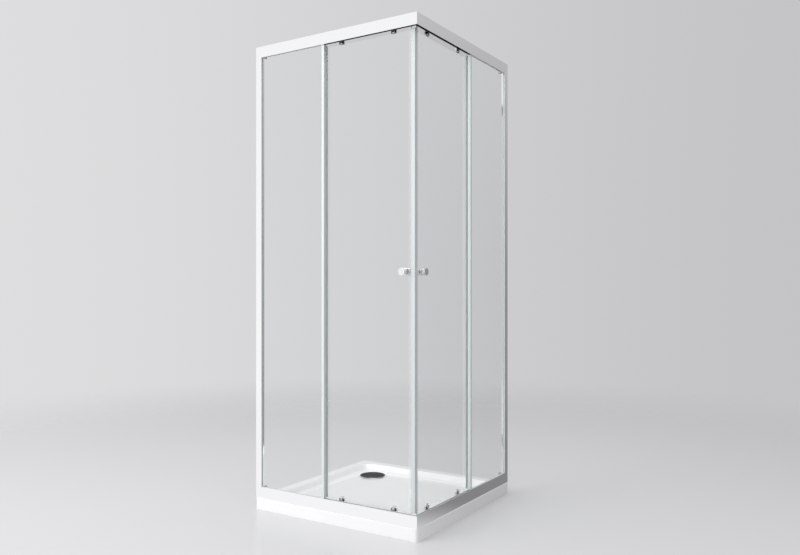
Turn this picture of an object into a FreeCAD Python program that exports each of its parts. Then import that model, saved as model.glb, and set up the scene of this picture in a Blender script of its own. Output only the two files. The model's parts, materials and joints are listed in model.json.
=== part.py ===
"""Corner shower enclosure: a low tray, two fixed panes and two sliding doors that meet at the entry corner.

All lengths are in millimetres. +Z is up and the origin is the middle of the tray's base. The room's walls
stand at the tray's -X and +Y sides, and the entry corner is at +X, -Y.
"""
import FreeCAD, Part
import math
import os
from types import SimpleNamespace

import Sketcher

SIZES = {
    # Tray
    "tray_side": 800.0,
    "tray_height": 50.0,
    "tray_corner_radius": 12.0,
    "tray_edge_radius": 1.8,
    "waste_floor": 5.0,
    "rim_width": 45.0,
    "rim_edge_radius": 6.0,
    "basin_depth": 20.0,
    "basin_slope_run": 22.0,
    "basin_corner_radius": 60.0,
    "basin_foot_radius": 12.0,
    "floor_margin": 16.0,
    "floor_fall": 4.0,
    # Waste
    "waste_setback": 166.0,
    "waste_hole_radius": 45.0,
    "waste_flat": 5.0,
    "flange_radius": 56.0,
    "flange_thickness": 2.0,
    "waste_seal_thickness": 1.5,
    "tail_radius": 43.0,
    "tail_wall": 3.0,
    "tail_floor_gap": 3.0,
    "spigot_radius": 41.5,
    "spigot_length": 6.0,
    "nut_radius": 60.0,
    "nut_thickness": 6.0,
    "thread_gap": 0.1,
    "cover_radius": 61.0,
    "cover_thickness": 3.5,
    "cover_lift": 3.0,
    "cover_stem_radius": 10.0,
    "cover_leg_wall": 2.5,
    "cover_foot": 8.0,
    # Frame profiles
    "frame_height": 1900.0,
    "rail_setback": 2.0,
    "profile_wall": 1.8,
    "rail_height": 46.0,
    "rail_depth": 36.0,
    "rail_lip": 12.0,
    "rail_pocket": 22.0,
    "jamb_face": 30.0,
    "jamb_depth": 20.0,
    "jamb_pocket": 11.0,
    "wall_gap": 2.0,
    "channel_wall": 1.6,
    "channel_flange": 18.0,
    "fit_gap": 0.15,
    "bracket_leg": 50.0,
    "connector_reach": 40.0,
    "end_cap_thickness": 2.0,
    # Glass and gaskets
    "glass_thickness": 5.0,
    "gasket_wall": 2.5,
    "gasket_base": 1.0,
    "fixed_pane_show": 329.0,
    "seal_wall": 1.0,
    "seal_base": 2.0,
    "seal_grip": 10.0,
    "seal_fin_wall": 1.2,
    "fixed_seal_reach": 7.2,
    "door_seal_reach": 7.5,
    "seal_end_gap": 2.0,
    # Roller track
    "shelf_level": 18.0,
    "track_rib": 3.0,
    "wheel_width": 6.5,
    "wheel_side_gap": 0.95,
    "wheel_radius": 9.5,
    "wheel_root_radius": 7.5,
    "wheel_groove": 2.6,
    "wheel_recess_radius": 4.2,
    "wheel_recess": 1.2,
    "wheel_seat_gap": 0.1,
    "axle_radius": 2.5,
    "axle_gap": 0.05,
    "axle_head_radius": 3.6,
    "axle_head": 0.8,
    "axle_end_play": 0.15,
    "stop_length": 10.0,
    "stop_height": 16.0,
    "stop_gap": 0.5,
    # Doors
    "door_lap": 6.0,
    "door_front_setback": 38.0,
    "door_cover": 20.0,
    "door_park_gap": 8.0,
    "roller_inset": 80.0,
    "magnet_gap": 0.3,
    # Roller brackets and bottom carriages
    "bracket_half_width": 12.0,
    "bracket_drop": 7.5,
    "bracket_head": 9.0,
    "bracket_corner": 4.5,
    "bracket_thickness": 6.4,
    "boss_half_width": 6.0,
    "boss_height": 16.0,
    "boss_stand_off": 0.5,
    "screw_drop": 1.0,
    "screw_radius": 2.0,
    "screw_hole_gap": 0.1,
    "glass_hole_gap": 1.5,
    "cap_radius": 6.5,
    "cap_thickness": 2.0,
    "cap_edge": 0.7,
    "carriage_reach": 24.0,
    "slot_wall": 1.4,
    "slot_gap": 0.2,
    "slider_half_width": 5.0,
    "slider_thickness": 3.0,
    "slider_top": 14.0,
    "slider_foot": 5.6,
    "release_travel": 3.5,
    "window_gap": 0.3,
    "button_half_width": 7.0,
    "button_thickness": 3.0,
    "button_overhang": 1.2,
    "spring_level": 4.0,
    "spring_length": 12.0,
    "spring_radius": 1.45,
    "spring_wall": 0.5,
    "ledge_height": 2.0,
    "ledge_half_width": 2.5,
    "collar_radius": 4.5,
    # Knobs
    "knob_setback": 68.0,
    "knob_level": 946.0,
    "knob_radius": 14.5,
    "knob_length": 22.5,
    "knob_hole_radius": 5.0,
    "stud_radius": 3.0,
    "stud_depth": 8.0,
    "stud_end_gap": 1.0,
    "washer_radius": 9.0,
    "washer_thickness": 1.0,
    # Screws of the frame
    "wall_hole_radius": 3.0,
    "wall_hole_pitch": 775.0,
    "frame_screw_radius": 1.85,
    "frame_screw_head": 3.6,
    "frame_screw_head_height": 1.5,
    "frame_screw_length": 7.0,
    "frame_screw_pitch": 700.0,
    "frame_screw_inset": 22.0,
    "corner_screw_setback": 32.0,
    # A cut runs past the solid by this much
    "overrun": 1.0,
}

# Profile of a knob from its washer to its end, as shares of its radius and its length
KNOB_OUTLINE_SHARES = [
    (0.55, 0.0), (0.55, 0.10), (0.42, 0.14), (0.42, 0.24), (0.72, 0.30), (0.72, 0.42), (0.58, 0.46),
    (0.58, 0.52), (0.80, 0.58), (0.80, 0.68), (0.64, 0.72), (0.64, 0.78), (1.0, 0.92), (1.0, 1.0),
]
# Profile of the waste cover's top, as shares of its radius and its thickness
COVER_OUTLINE_SHARES = [(0.97, 0.0), (1.0, 0.35), (0.985, 0.6), (0.8, 0.9), (0.0, 1.0)]
# The cover's stem ends this share of the waste's depth above the floor
STEM_END_SHARE = 0.4
# A pan head narrows to this share of its radius
SCREW_CROWN_SHARE = 0.6
SCREW_COUNT = 3
COVER_LEG_COUNT = 3

document = FreeCAD.newDocument("CornerShower")
sheet = document.addObject("Spreadsheet::Sheet", "Dimensions")
for row, (alias, number) in enumerate(SIZES.items(), start=1):
    sheet.set(f"A{row}", str(number))
    sheet.setAlias(f"A{row}", alias)
document.recompute()


class Size:
    """A length as a number, with the sheet formula that gives it."""

    def __init__(self, value, formula):
        self.value = value
        self.formula = formula

    def __add__(self, other):
        other = as_size(other)
        return Size(self.value + other.value, f"({self.formula} + {other.formula})")

    def __sub__(self, other):
        other = as_size(other)
        return Size(self.value - other.value, f"({self.formula} - {other.formula})")

    def __mul__(self, factor):
        return Size(self.value * factor, f"({self.formula} * {factor})")

    def __truediv__(self, divisor):
        return Size(self.value / divisor, f"({self.formula} / {divisor})")

    def __neg__(self):
        return Size(-self.value, f"(0 - {self.formula})")


def as_size(item):
    """A plain zero or number beside a Size becomes one."""
    if isinstance(item, Size):
        return item
    return Size(item, str(item))


d = SimpleNamespace(**{alias: Size(number, f"Dimensions.{alias}") for alias, number in SIZES.items()})

# Places that several pieces share
half = d.tray_side / 2
span = d.tray_side - d.rail_setback
tray_top = d.tray_height
frame_top = d.tray_height + d.frame_height
bottom_edge = d.tray_height + d.rail_height
top_edge = frame_top - d.rail_height

# Depths from a face's outer plane, towards the inside
web_outer = d.profile_wall + d.gasket_wall * 2 + d.glass_thickness
web_inner = web_outer + d.profile_wall
fixed_outer = d.profile_wall + d.gasket_wall
fixed_inner = fixed_outer + d.glass_thickness
wheel_middle = web_inner + d.wheel_side_gap + d.wheel_width / 2
wheel_inner = wheel_middle + d.wheel_width / 2
wheel_outer = wheel_middle - d.wheel_width / 2
track_outer = wheel_middle - d.profile_wall / 2
track_inner = wheel_middle + d.profile_wall / 2
door_outer = wheel_inner + d.wheel_side_gap
door_inner = door_outer + d.glass_thickness

# Distances along a face from the entry corner
rail_end = span - d.wall_gap - d.jamb_face
fixed_edge = rail_end - d.fixed_pane_show
door_rear = fixed_edge + d.door_lap
door_travel = rail_end - door_rear - d.door_park_gap
front_roller = d.door_front_setback + d.roller_inset
rear_roller = door_rear - d.roller_inset

# Levels inside a rail, from its open edge
track_level = d.shelf_level + d.profile_wall
axle_level = track_level + d.track_rib + d.wheel_root_radius + d.wheel_seat_gap
chamber_level = d.rail_pocket + d.profile_wall


def in_top_rail(level):
    """Height of a level inside the top rail."""
    return top_edge + level


def in_bottom_rail(level):
    """Height of a level inside the bottom rail, which is the same section upside down."""
    return bottom_edge - level


def bind(item, name, size):
    """Give one property its number and its formula."""
    size = as_size(size)
    if "." not in name:
        setattr(item, name, size.value)
    item.setExpression(name, size.formula)


def place(item, x, y, z):
    """Put an object's origin at a point worked out from the sheet."""
    for axis, size in zip("xyz", (x, y, z)):
        bind(item, f"Placement.Base.{axis}", size)


def face_body(label):
    """A body in the left face's frame: X runs to the entry corner, Y to the inside, Z up."""
    body = document.addObject("PartDesign::Body", label)
    body.Label = label
    place(body, half - d.rail_setback, d.rail_setback - half, 0)
    return body


def sketch_on(body, role, start):
    """An empty sketch on one of the body's planes, moved along its axis to a start."""
    sketch = body.newObject("Sketcher::SketchObject", "Outline")
    support = [item for item in body.Origin.OriginFeatures if item.Role == role][0]
    sketch.AttachmentSupport = [(support, "")]
    sketch.MapMode = "FlatFace"
    offset = -as_size(start) if role == "XZ_Plane" else as_size(start)
    bind(sketch, "AttachmentOffset.Base.z", offset)
    return sketch


def hold(sketch, kind, where, size):
    """Hold one coordinate or radius of a sketch at a size."""
    size = as_size(size)
    index = sketch.addConstraint(Sketcher.Constraint(kind, *where, size.value))
    sketch.setExpression(f"Constraints[{index}]", size.formula)


def polygon(sketch, points):
    """A closed outline of straight edges with every corner held."""
    first = sketch.GeometryCount
    corners = [FreeCAD.Vector(as_size(u).value, as_size(v).value, 0) for u, v in points]
    for here, there in zip(corners, corners[1:] + corners[:1]):
        sketch.addGeometry(Part.LineSegment(here, there))
    for index in range(len(points)):
        following = first + (index + 1) % len(points)
        sketch.addConstraint(Sketcher.Constraint("Coincident", first + index, 2, following, 1))
    for index, (u, v) in enumerate(points):
        hold(sketch, "DistanceX", (-1, 1, first + index, 1), u)
        hold(sketch, "DistanceY", (-1, 1, first + index, 1), v)


def rectangle(sketch, low, high):
    """A closed rectangle between two opposite corners."""
    polygon(sketch, [low, (high[0], low[1]), high, (low[0], high[1])])


def rounded_rectangle(sketch, low, high, radius):
    """A closed rectangle with rounded corners."""
    left, foot = low
    right, head = high
    sides = [
        ((left + radius, foot), (right - radius, foot)), ((right, foot + radius), (right, head - radius)),
        ((right - radius, head), (left + radius, head)), ((left, head - radius), (left, foot + radius)),
    ]
    middles = [(right - radius, foot + radius), (right - radius, head - radius),
               (left + radius, head - radius), (left + radius, foot + radius)]
    first = sketch.GeometryCount
    for ends in sides:
        sketch.addGeometry(Part.LineSegment(*(FreeCAD.Vector(u.value, v.value, 0) for u, v in ends)))
    for quarter, (u, v) in enumerate(middles):
        ring = Part.Circle(FreeCAD.Vector(u.value, v.value, 0), FreeCAD.Vector(0, 0, 1), radius.value)
        start = math.radians(-90 + 90 * quarter)
        sketch.addGeometry(Part.ArcOfCircle(ring, start, start + math.pi / 2))
    for quarter, ends in enumerate(sides):
        arc = first + len(sides) + quarter
        line = first + quarter
        following = first + (quarter + 1) % len(sides)
        for end, (u, v) in enumerate(ends, start=1):
            hold(sketch, "DistanceX", (-1, 1, line, end), u)
            hold(sketch, "DistanceY", (-1, 1, line, end), v)
        sketch.addConstraint(Sketcher.Constraint("Coincident", line, 2, arc, 1))
        sketch.addConstraint(Sketcher.Constraint("Coincident", arc, 2, following, 1))
        hold(sketch, "Radius", (arc,), radius)


def circle(sketch, centre, radius):
    """A circle with its centre and radius held."""
    u, v = (as_size(item) for item in centre)
    outline = Part.Circle(FreeCAD.Vector(u.value, v.value, 0), FreeCAD.Vector(0, 0, 1), radius.value)
    index = sketch.addGeometry(outline)
    hold(sketch, "DistanceX", (-1, 1, index, 3), u)
    hold(sketch, "DistanceY", (-1, 1, index, 3), v)
    hold(sketch, "Radius", (index,), radius)


def pad(body, role, start, length, draw):
    """Extrude what draw puts in a sketch, from start towards the axis's positive end."""
    sketch = sketch_on(body, role, start)
    draw(sketch)
    feature = body.newObject("PartDesign::Pad", "Pad")
    feature.Profile = sketch
    bind(feature, "Length", length)
    feature.Reversed = role == "XZ_Plane"
    return feature


def cut(body, role, start, length, draw):
    """Remove what draw puts in a sketch, from start towards the axis's positive end."""
    sketch = sketch_on(body, role, start)
    draw(sketch)
    feature = body.newObject("PartDesign::Pocket", "Pocket")
    feature.Profile = sketch
    bind(feature, "Length", length)
    feature.Reversed = role != "XZ_Plane"
    document.recompute()
    return feature


def fillet(body, radius, wanted):
    """Round the edges of the body's last feature that wanted picks."""
    document.recompute()
    tip = body.Tip
    names = [f"Edge{index}" for index, edge in enumerate(tip.Shape.Edges, start=1) if wanted(edge)]
    feature = body.newObject("PartDesign::Fillet", "Fillet")
    feature.Base = (tip, names)
    bind(feature, "Radius", radius)
    document.recompute()
    return feature


def runs_along(edge, axis):
    """True for a straight edge along one of the axes X, Y and Z."""
    ends = [vertex.Point for vertex in edge.Vertexes]
    if len(ends) != 2:
        return False
    across = [name for name in "xyz" if name != axis]
    apart = [abs(getattr(ends[0], name) - getattr(ends[1], name)) for name in across]
    return max(apart) < TOUCH and ends[0].distanceToPoint(ends[1]) > TOUCH


# Two places closer than this are the same place
TOUCH = d.fit_gap.value / 100


def turned(body, role, outline):
    """Revolve an outline of (radius, distance along the axis) about the body's own axis."""
    sketch = sketch_on(body, role, 0)
    polygon(sketch, outline)
    feature = body.newObject("PartDesign::Revolution", "Revolution")
    feature.Profile = sketch
    feature.ReferenceAxis = (sketch, ["V_Axis"])
    feature.Angle = 360
    return feature


def turned_across(label, along, depth, height, outline):
    """A turned piece whose axis crosses the left face, at a distance along it, a depth and a height."""
    body = document.addObject("PartDesign::Body", label)
    body.Label = label
    place(body, half - d.rail_setback - along, d.rail_setback - half + depth, height)
    turned(body, "XY_Plane", outline)
    return body


def group(label, members):
    """Several alike solids as one piece."""
    compound = document.addObject("Part::Compound", label)
    compound.Label = label
    compound.Links = members
    return compound


def mirrored(source, label):
    """The right face's copy of a left piece, across the plane through the entry corner."""
    copy = document.addObject("Part::Mirroring", label)
    copy.Label = label
    copy.Source = source
    copy.Normal = FreeCAD.Vector(1, 1, 0)
    return copy


def shower_tray():
    """The tray, cast solid: rim, sloped basin, floor falling to the waste and a recess below for its nut."""
    body = document.addObject("PartDesign::Body", "shower_tray")
    body.Label = "shower_tray"
    pad(body, "XY_Plane", 0, d.tray_height, lambda s: rectangle(s, (-half, -half), (half, half)))
    fillet(body, d.tray_corner_radius, lambda edge: runs_along(edge, "z"))
    rim = half - d.rim_width
    sketch = sketch_on(body, "XY_Plane", tray_top)
    rounded_rectangle(sketch, (-rim, -rim), (rim, rim), d.basin_corner_radius)
    basin = body.newObject("PartDesign::Pocket", "Basin")
    basin.Profile = sketch
    bind(basin, "Length", d.basin_depth)
    basin.setExpression("TaperAngle", f"-atan({d.basin_slope_run.formula} / {d.basin_depth.formula})")
    floor_level = tray_top - d.basin_depth

    def lies_at(level, reach):
        def test(edge):
            box = edge.BoundBox
            flat = abs(box.ZMin - level.value) < TOUCH and abs(box.ZMax - level.value) < TOUCH
            inside = max(abs(box.XMin), abs(box.XMax), abs(box.YMin), abs(box.YMax))
            return flat and inside < reach.value + TOUCH
        return test

    fillet(body, d.basin_foot_radius, lies_at(floor_level, half))
    fillet(body, d.rim_edge_radius, lies_at(tray_top, rim))
    fillet(body, d.tray_edge_radius, lies_at(tray_top, half))
    # The floor falls in four flat planes to a level square round the waste
    floor = rim - d.basin_slope_run - d.floor_margin
    flat = d.flange_radius + d.fit_gap + d.waste_flat
    waste_x = d.waste_setback - half
    waste_y = half - d.waste_setback
    wide = sketch_on(body, "XY_Plane", floor_level)
    rectangle(wide, (-floor, -floor), (floor, floor))
    low_level = floor_level - d.floor_fall
    narrow = sketch_on(body, "XY_Plane", low_level)
    rectangle(narrow, (waste_x - flat, waste_y - flat), (waste_x + flat, waste_y + flat))
    fall = body.newObject("PartDesign::SubtractiveLoft", "FloorFall")
    fall.Profile = wide
    fall.Sections = [narrow]
    fall.Ruled = True
    document.recompute()
    seat = low_level - d.flange_thickness - d.waste_seal_thickness
    under = seat - d.waste_floor
    centre = (waste_x, waste_y)
    nut_room = d.nut_radius + d.waste_flat
    cut(body, "XY_Plane", 0, under, lambda s: circle(s, centre, nut_room))
    cut(body, "XY_Plane", 0, tray_top, lambda s: circle(s, centre, d.waste_hole_radius))
    recess_depth = tray_top - seat
    cut(body, "XY_Plane", seat, recess_depth, lambda s: circle(s, centre, d.flange_radius + d.fit_gap))
    return body


def waste_pieces():
    """The waste: flange with its tail, two sealing rings, clamp nut and loose cover."""
    low_level = tray_top - d.basin_depth - d.floor_fall
    seat = low_level - d.flange_thickness - d.waste_seal_thickness
    under = seat - d.waste_floor
    nut_top = under - d.waste_seal_thickness
    waste_x = d.waste_setback - half
    waste_y = half - d.waste_setback
    bore = d.tail_radius - d.tail_wall

    def turned_up(label, outline):
        body = document.addObject("PartDesign::Body", label)
        body.Label = label
        place(body, waste_x, waste_y, 0)
        turned(body, "XZ_Plane", outline)
        return body

    flange_foot = low_level - d.flange_thickness
    spigot_top = d.tail_floor_gap + d.spigot_length
    flange = turned_up("waste_flange", [
        (bore, d.tail_floor_gap),
        (d.spigot_radius, d.tail_floor_gap),
        (d.spigot_radius, spigot_top),
        (d.tail_radius, spigot_top),
        (d.tail_radius, flange_foot),
        (d.flange_radius, flange_foot),
        (d.flange_radius, low_level),
        (bore, low_level),
    ])
    ring_bore = d.waste_hole_radius
    upper = turned_up("upper_seal", [
        (ring_bore, seat), (d.flange_radius, seat), (d.flange_radius, flange_foot), (ring_bore, flange_foot),
    ])
    lower = turned_up("lower_seal", [
        (ring_bore, nut_top), (d.flange_radius, nut_top), (d.flange_radius, under), (ring_bore, under),
    ])
    seals = group("waste_seals", [upper, lower])
    nut_bore = d.tail_radius + d.thread_gap
    nut_foot = nut_top - d.nut_thickness
    nut_lip = nut_top - d.nut_thickness / 2
    nut = turned_up("waste_nut", [
        (nut_bore, nut_foot), (d.waste_hole_radius + d.tail_wall, nut_foot),
        (d.waste_hole_radius + d.tail_wall, nut_lip), (d.nut_radius, nut_lip),
        (d.nut_radius, nut_top), (nut_bore, nut_top),
    ])
    cover_foot = low_level + d.cover_lift
    outline = [(d.cover_radius * radius, cover_foot + d.cover_thickness * rise)
               for radius, rise in COVER_OUTLINE_SHARES]
    cover = turned_up("waste_cover", [(0, cover_foot)] + outline)
    document.recompute()
    stem_foot = low_level * STEM_END_SHARE
    pad(cover, "XY_Plane", stem_foot, cover_foot - stem_foot, lambda s: circle(s, (0, 0), d.cover_stem_radius))
    leg_end = bore - d.fit_gap

    def leg_outline(sketch):
        polygon(sketch, [
            (d.cover_stem_radius / 2, stem_foot), (leg_end, stem_foot), (leg_end, low_level),
            (bore + d.cover_foot, low_level), (bore + d.cover_foot, cover_foot),
            (d.cover_stem_radius / 2, cover_foot),
        ])

    leg = pad(cover, "XZ_Plane", -(d.cover_leg_wall / 2), d.cover_leg_wall, leg_outline)
    document.recompute()
    legs = cover.newObject("PartDesign::PolarPattern", "Legs")
    legs.Originals = [leg]
    line = [item for item in cover.Origin.OriginFeatures if item.Role == "Z_Axis"][0]
    legs.Axis = (line, [""])
    legs.Angle = 360
    legs.Occurrences = COVER_LEG_COUNT
    cover.Tip = legs
    return {"waste_flange": flange, "waste_seals": seals, "waste_nut": nut, "waste_cover": cover}


def rail(label, level):
    """A rail: glass pocket, hollow chamber, roller track and lip, mitred at the entry corner."""
    height = d.rail_height
    depth = d.rail_depth
    wall = d.profile_wall

    def section(sketch):
        polygon(sketch, [(t, level(v)) for t, v in (
            (0, 0), (0, height), (depth, height), (depth, height - d.rail_lip),
            (depth - wall, height - d.rail_lip), (depth - wall, height - wall), (web_inner, height - wall),
            (web_inner, track_level), (track_outer, track_level), (track_outer, track_level + d.track_rib),
            (track_inner, track_level + d.track_rib), (track_inner, d.shelf_level), (web_inner, d.shelf_level),
            (web_inner, 0), (web_outer, 0), (web_outer, d.rail_pocket), (wall, d.rail_pocket), (wall, 0),
        )])
        rectangle(sketch, (wall, level(chamber_level)), (web_outer, level(height - wall)))

    body = face_body(label)
    pad(body, "YZ_Plane", -rail_end, rail_end, section)
    document.recompute()
    past = d.overrun
    foot = min(level(0), level(height), key=lambda size: size.value) - past
    cut(body, "XY_Plane", foot, height + past * 2, lambda s: polygon(s, [
        (past, -past), (past, depth + past), (-depth - past, depth + past),
    ]))
    chamber_middle = level((chamber_level + height - wall) / 2)

    def screw_holes(sketch):
        for along in (d.corner_screw_setback, rail_end - d.corner_screw_setback):
            circle(sketch, (-along, chamber_middle), d.frame_screw_radius + d.screw_hole_gap)

    cut(body, "XZ_Plane", web_outer - past / 2, d.profile_wall + past, screw_holes)
    return body


def corner_bracket(label, level):
    """The L-shaped bracket inside the hollow chambers of two rails."""
    near = d.profile_wall + d.fit_gap
    far = web_outer - d.fit_gap
    leg = d.bracket_leg
    levels = sorted((level(chamber_level + d.fit_gap), level(d.rail_height - d.profile_wall - d.fit_gap)),
                    key=lambda size: size.value)
    body = face_body(label)
    pad(body, "XY_Plane", levels[0], levels[1] - levels[0], lambda s: polygon(s, [
        (-leg, near), (-near, near), (-near, leg), (-far, leg), (-far, far), (-leg, far),
    ]))
    document.recompute()
    middle = (levels[0] + levels[1]) / 2
    hole = d.frame_screw_radius + d.screw_hole_gap
    past = d.overrun
    along = d.corner_screw_setback
    cut(body, "XZ_Plane", near - past, far - near + past * 2, lambda s: circle(s, (-along, middle), hole))
    cut(body, "YZ_Plane", -far - past, far - near + past * 2, lambda s: circle(s, (along, middle), hole))
    return body


def end_connector(label, level):
    """The block that joins a rail's chamber to the jamb's glass pocket."""
    near = d.profile_wall + d.fit_gap
    far = web_outer - d.fit_gap
    levels = sorted((level(chamber_level + d.fit_gap), level(d.rail_height - d.profile_wall - d.fit_gap)),
                    key=lambda size: size.value)
    body = face_body(label)
    inner_end = rail_end - d.connector_reach
    outer_end = rail_end + d.jamb_pocket - d.fit_gap
    pad(body, "XZ_Plane", near, far - near,
        lambda s: rectangle(s, (-outer_end, levels[0]), (-inner_end, levels[1])))
    document.recompute()
    middle = (levels[0] + levels[1]) / 2
    along = rail_end - d.corner_screw_setback
    past = d.overrun
    cut(body, "XZ_Plane", near - past, far - near + past * 2,
        lambda s: circle(s, (-along, middle), d.frame_screw_radius + d.screw_hole_gap))
    return body


def end_cap(label, level):
    """The plate that closes the roller track at the jamb's end."""
    levels = sorted((level(0), level(d.rail_height - d.profile_wall - d.fit_gap)), key=lambda size: size.value)
    near = track_inner + d.fit_gap
    far = d.rail_depth - d.profile_wall - d.fit_gap
    body = face_body(label)
    pad(body, "YZ_Plane", -rail_end, d.end_cap_thickness,
        lambda s: rectangle(s, (near, levels[0]), (far, levels[1])))
    return body


def door_stop(label, level):
    """The rubber block on the track shelf that stops the rear wheel."""
    start = rear_roller + door_travel + d.wheel_radius + d.stop_gap
    levels = sorted((level(track_level), level(track_level + d.stop_height)), key=lambda size: size.value)
    body = face_body(label)
    pad(body, "XZ_Plane", web_inner + d.fit_gap, track_outer - web_inner - d.fit_gap * 2,
        lambda s: rectangle(s, (-start - d.stop_length, levels[0]), (-start, levels[1])))
    return body


def jamb():
    """The upright that holds the fixed glass and slides over the wall channel."""
    wall = d.profile_wall
    depth = d.jamb_depth
    face = d.jamb_face
    back = d.jamb_pocket + wall

    def section(sketch):
        polygon(sketch, [(-rail_end - u, t) for t, u in (
            (0, 0), (0, face), (wall, face), (wall, back), (depth - wall, back), (depth - wall, face),
            (depth, face), (depth, 0), (web_outer, 0), (web_outer, d.jamb_pocket), (wall, d.jamb_pocket),
            (wall, 0),
        )])
        rectangle(sketch, (-rail_end - d.jamb_pocket, web_inner), (-rail_end - wall, depth - wall))

    body = face_body("left_jamb")
    pad(body, "XY_Plane", tray_top, d.frame_height, section)
    document.recompute()

    def screw_holes(sketch):
        for height in frame_screw_heights():
            circle(sketch, (-rail_end - d.frame_screw_inset, height), d.frame_screw_radius + d.screw_hole_gap)

    cut(body, "XZ_Plane", depth - wall - d.overrun / 2, wall + d.overrun, screw_holes)
    return body


def frame_screw_heights():
    """Heights of the screws that fix a jamb to its wall channel."""
    middle = tray_top + d.frame_height / 2
    return [middle + d.frame_screw_pitch * step for step in range(-1, SCREW_COUNT - 1)]


def wall_channel():
    """The channel that is screwed to the wall, inside the jamb."""
    near = d.profile_wall + d.fit_gap
    far = d.jamb_depth - d.profile_wall - d.fit_gap
    wall = d.channel_wall
    back = d.jamb_face + d.wall_gap
    front = back - d.channel_flange

    def section(sketch):
        polygon(sketch, [(-rail_end - u, t) for t, u in (
            (near, back), (far, back), (far, front), (far - wall, front), (far - wall, back - wall),
            (near + wall, back - wall), (near + wall, front), (near, front),
        )])

    body = face_body("left_wall_channel")
    pad(body, "XY_Plane", tray_top, d.frame_height, section)
    document.recompute()
    middle = tray_top + d.frame_height / 2

    def wall_holes(sketch):
        for step in range(-1, SCREW_COUNT - 1):
            circle(sketch, ((near + far) / 2, middle + d.wall_hole_pitch * step), d.wall_hole_radius)

    cut(body, "YZ_Plane", -rail_end - back - d.overrun, wall + d.overrun * 2, wall_holes)

    def screw_holes(sketch):
        for height in frame_screw_heights():
            circle(sketch, (-rail_end - d.frame_screw_inset, height), d.frame_screw_radius + d.screw_hole_gap)

    cut(body, "XZ_Plane", far - wall - d.overrun / 2, wall + d.overrun, screw_holes)
    return body


def frame_screw(label, along, depth, height):
    """A pan-head screw driven outwards, with its head's underside at a depth."""
    return turned_across(label, along, depth, height, [
        (0, -d.frame_screw_length), (d.frame_screw_radius, -d.frame_screw_length), (d.frame_screw_radius, 0),
        (d.frame_screw_head, 0), (d.frame_screw_head, d.frame_screw_head_height / 2),
        (d.frame_screw_head * SCREW_CROWN_SHARE, d.frame_screw_head_height), (0, d.frame_screw_head_height),
    ])


def frame_screws():
    """All the frame's screws: jamb to channel, and rail to bracket or connector, on both faces."""
    left = []
    for height in frame_screw_heights():
        left.append(frame_screw("jamb_screw", rail_end + d.frame_screw_inset, d.jamb_depth, height))
    for level in (in_top_rail, in_bottom_rail):
        height = level((chamber_level + d.rail_height - d.profile_wall) / 2)
        for along in (d.corner_screw_setback, rail_end - d.corner_screw_setback):
            left.append(frame_screw("rail_screw", along, web_inner, height))
    left_screws = group("left_frame_screws", left)
    return group("frame_screws", [left_screws, mirrored(left_screws, "right_frame_screws")])


def fixed_glass():
    """The fixed pane in the rails' and jamb's pockets."""
    held = d.rail_pocket - d.gasket_base
    far = rail_end + d.jamb_pocket - d.gasket_base
    body = face_body("left_fixed_glass")
    pad(body, "XZ_Plane", fixed_outer, d.glass_thickness, lambda s: rectangle(
        s, (-far, in_bottom_rail(held)), (-fixed_edge, in_top_rail(held))))
    return body


def glazing_gasket():
    """The U-shaped gasket strips between the fixed pane and its three pockets."""
    strips = []
    for label, level in (("top_strip", in_top_rail), ("bottom_strip", in_bottom_rail)):
        strip = face_body(label)
        outline = [(t, level(v)) for t, v in (
            (d.profile_wall, 0), (d.profile_wall, d.rail_pocket), (web_outer, d.rail_pocket), (web_outer, 0),
            (fixed_inner, 0), (fixed_inner, d.rail_pocket - d.gasket_base),
            (fixed_outer, d.rail_pocket - d.gasket_base), (fixed_outer, 0),
        )]
        pad(strip, "YZ_Plane", -rail_end, rail_end - fixed_edge, lambda s: polygon(s, outline))
        strips.append(strip)
    upright = face_body("wall_strip")
    outline = [(-rail_end - u, t) for t, u in (
        (d.profile_wall, 0), (d.profile_wall, d.jamb_pocket), (web_outer, d.jamb_pocket), (web_outer, 0),
        (fixed_inner, 0), (fixed_inner, d.jamb_pocket - d.gasket_base),
        (fixed_outer, d.jamb_pocket - d.gasket_base), (fixed_outer, 0),
    )]
    foot = in_bottom_rail(d.rail_pocket)
    pad(upright, "XY_Plane", foot, in_top_rail(d.rail_pocket) - foot, lambda s: polygon(s, outline))
    strips.append(upright)
    return group("left_glazing_gasket", strips)


def fixed_edge_seal():
    """The strip on the fixed pane's free edge, with a fin towards the door."""
    edge = fixed_edge
    fin = edge - d.seal_base + d.seal_fin_wall
    tip = fixed_inner + d.seal_wall + d.fixed_seal_reach
    body = face_body("left_fixed_edge_seal")
    foot = bottom_edge + d.fit_gap
    pad(body, "XY_Plane", foot, top_edge - d.fit_gap - foot, lambda s: polygon(s, [(-u, t) for u, t in (
        (edge - d.seal_base, fixed_outer - d.seal_wall), (edge + d.seal_grip, fixed_outer - d.seal_wall),
        (edge + d.seal_grip, fixed_outer), (edge, fixed_outer), (edge, fixed_inner),
        (edge + d.seal_grip, fixed_inner), (edge + d.seal_grip, fixed_inner + d.seal_wall),
        (fin, fixed_inner + d.seal_wall), (fin, tip), (edge - d.seal_base, tip),
    )]))
    return body


def door_glass():
    """The door's pane, with holes for the knob and the roller screws."""
    body = face_body("left_door_glass")
    past = d.overrun
    pad(body, "XZ_Plane", door_outer, d.glass_thickness, lambda s: rectangle(
        s, (-door_rear, in_bottom_rail(d.door_cover)), (-d.door_front_setback, in_top_rail(d.door_cover))))
    document.recompute()

    def holes(sketch):
        for along in (front_roller, rear_roller):
            for level in (in_top_rail, in_bottom_rail):
                circle(sketch, (-along, level(-d.screw_drop)), d.screw_radius + d.glass_hole_gap)
        circle(sketch, (-d.knob_setback, tray_top + d.knob_level), d.knob_hole_radius)

    cut(body, "XZ_Plane", door_outer - past, d.glass_thickness + past * 2, holes)
    return body


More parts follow.
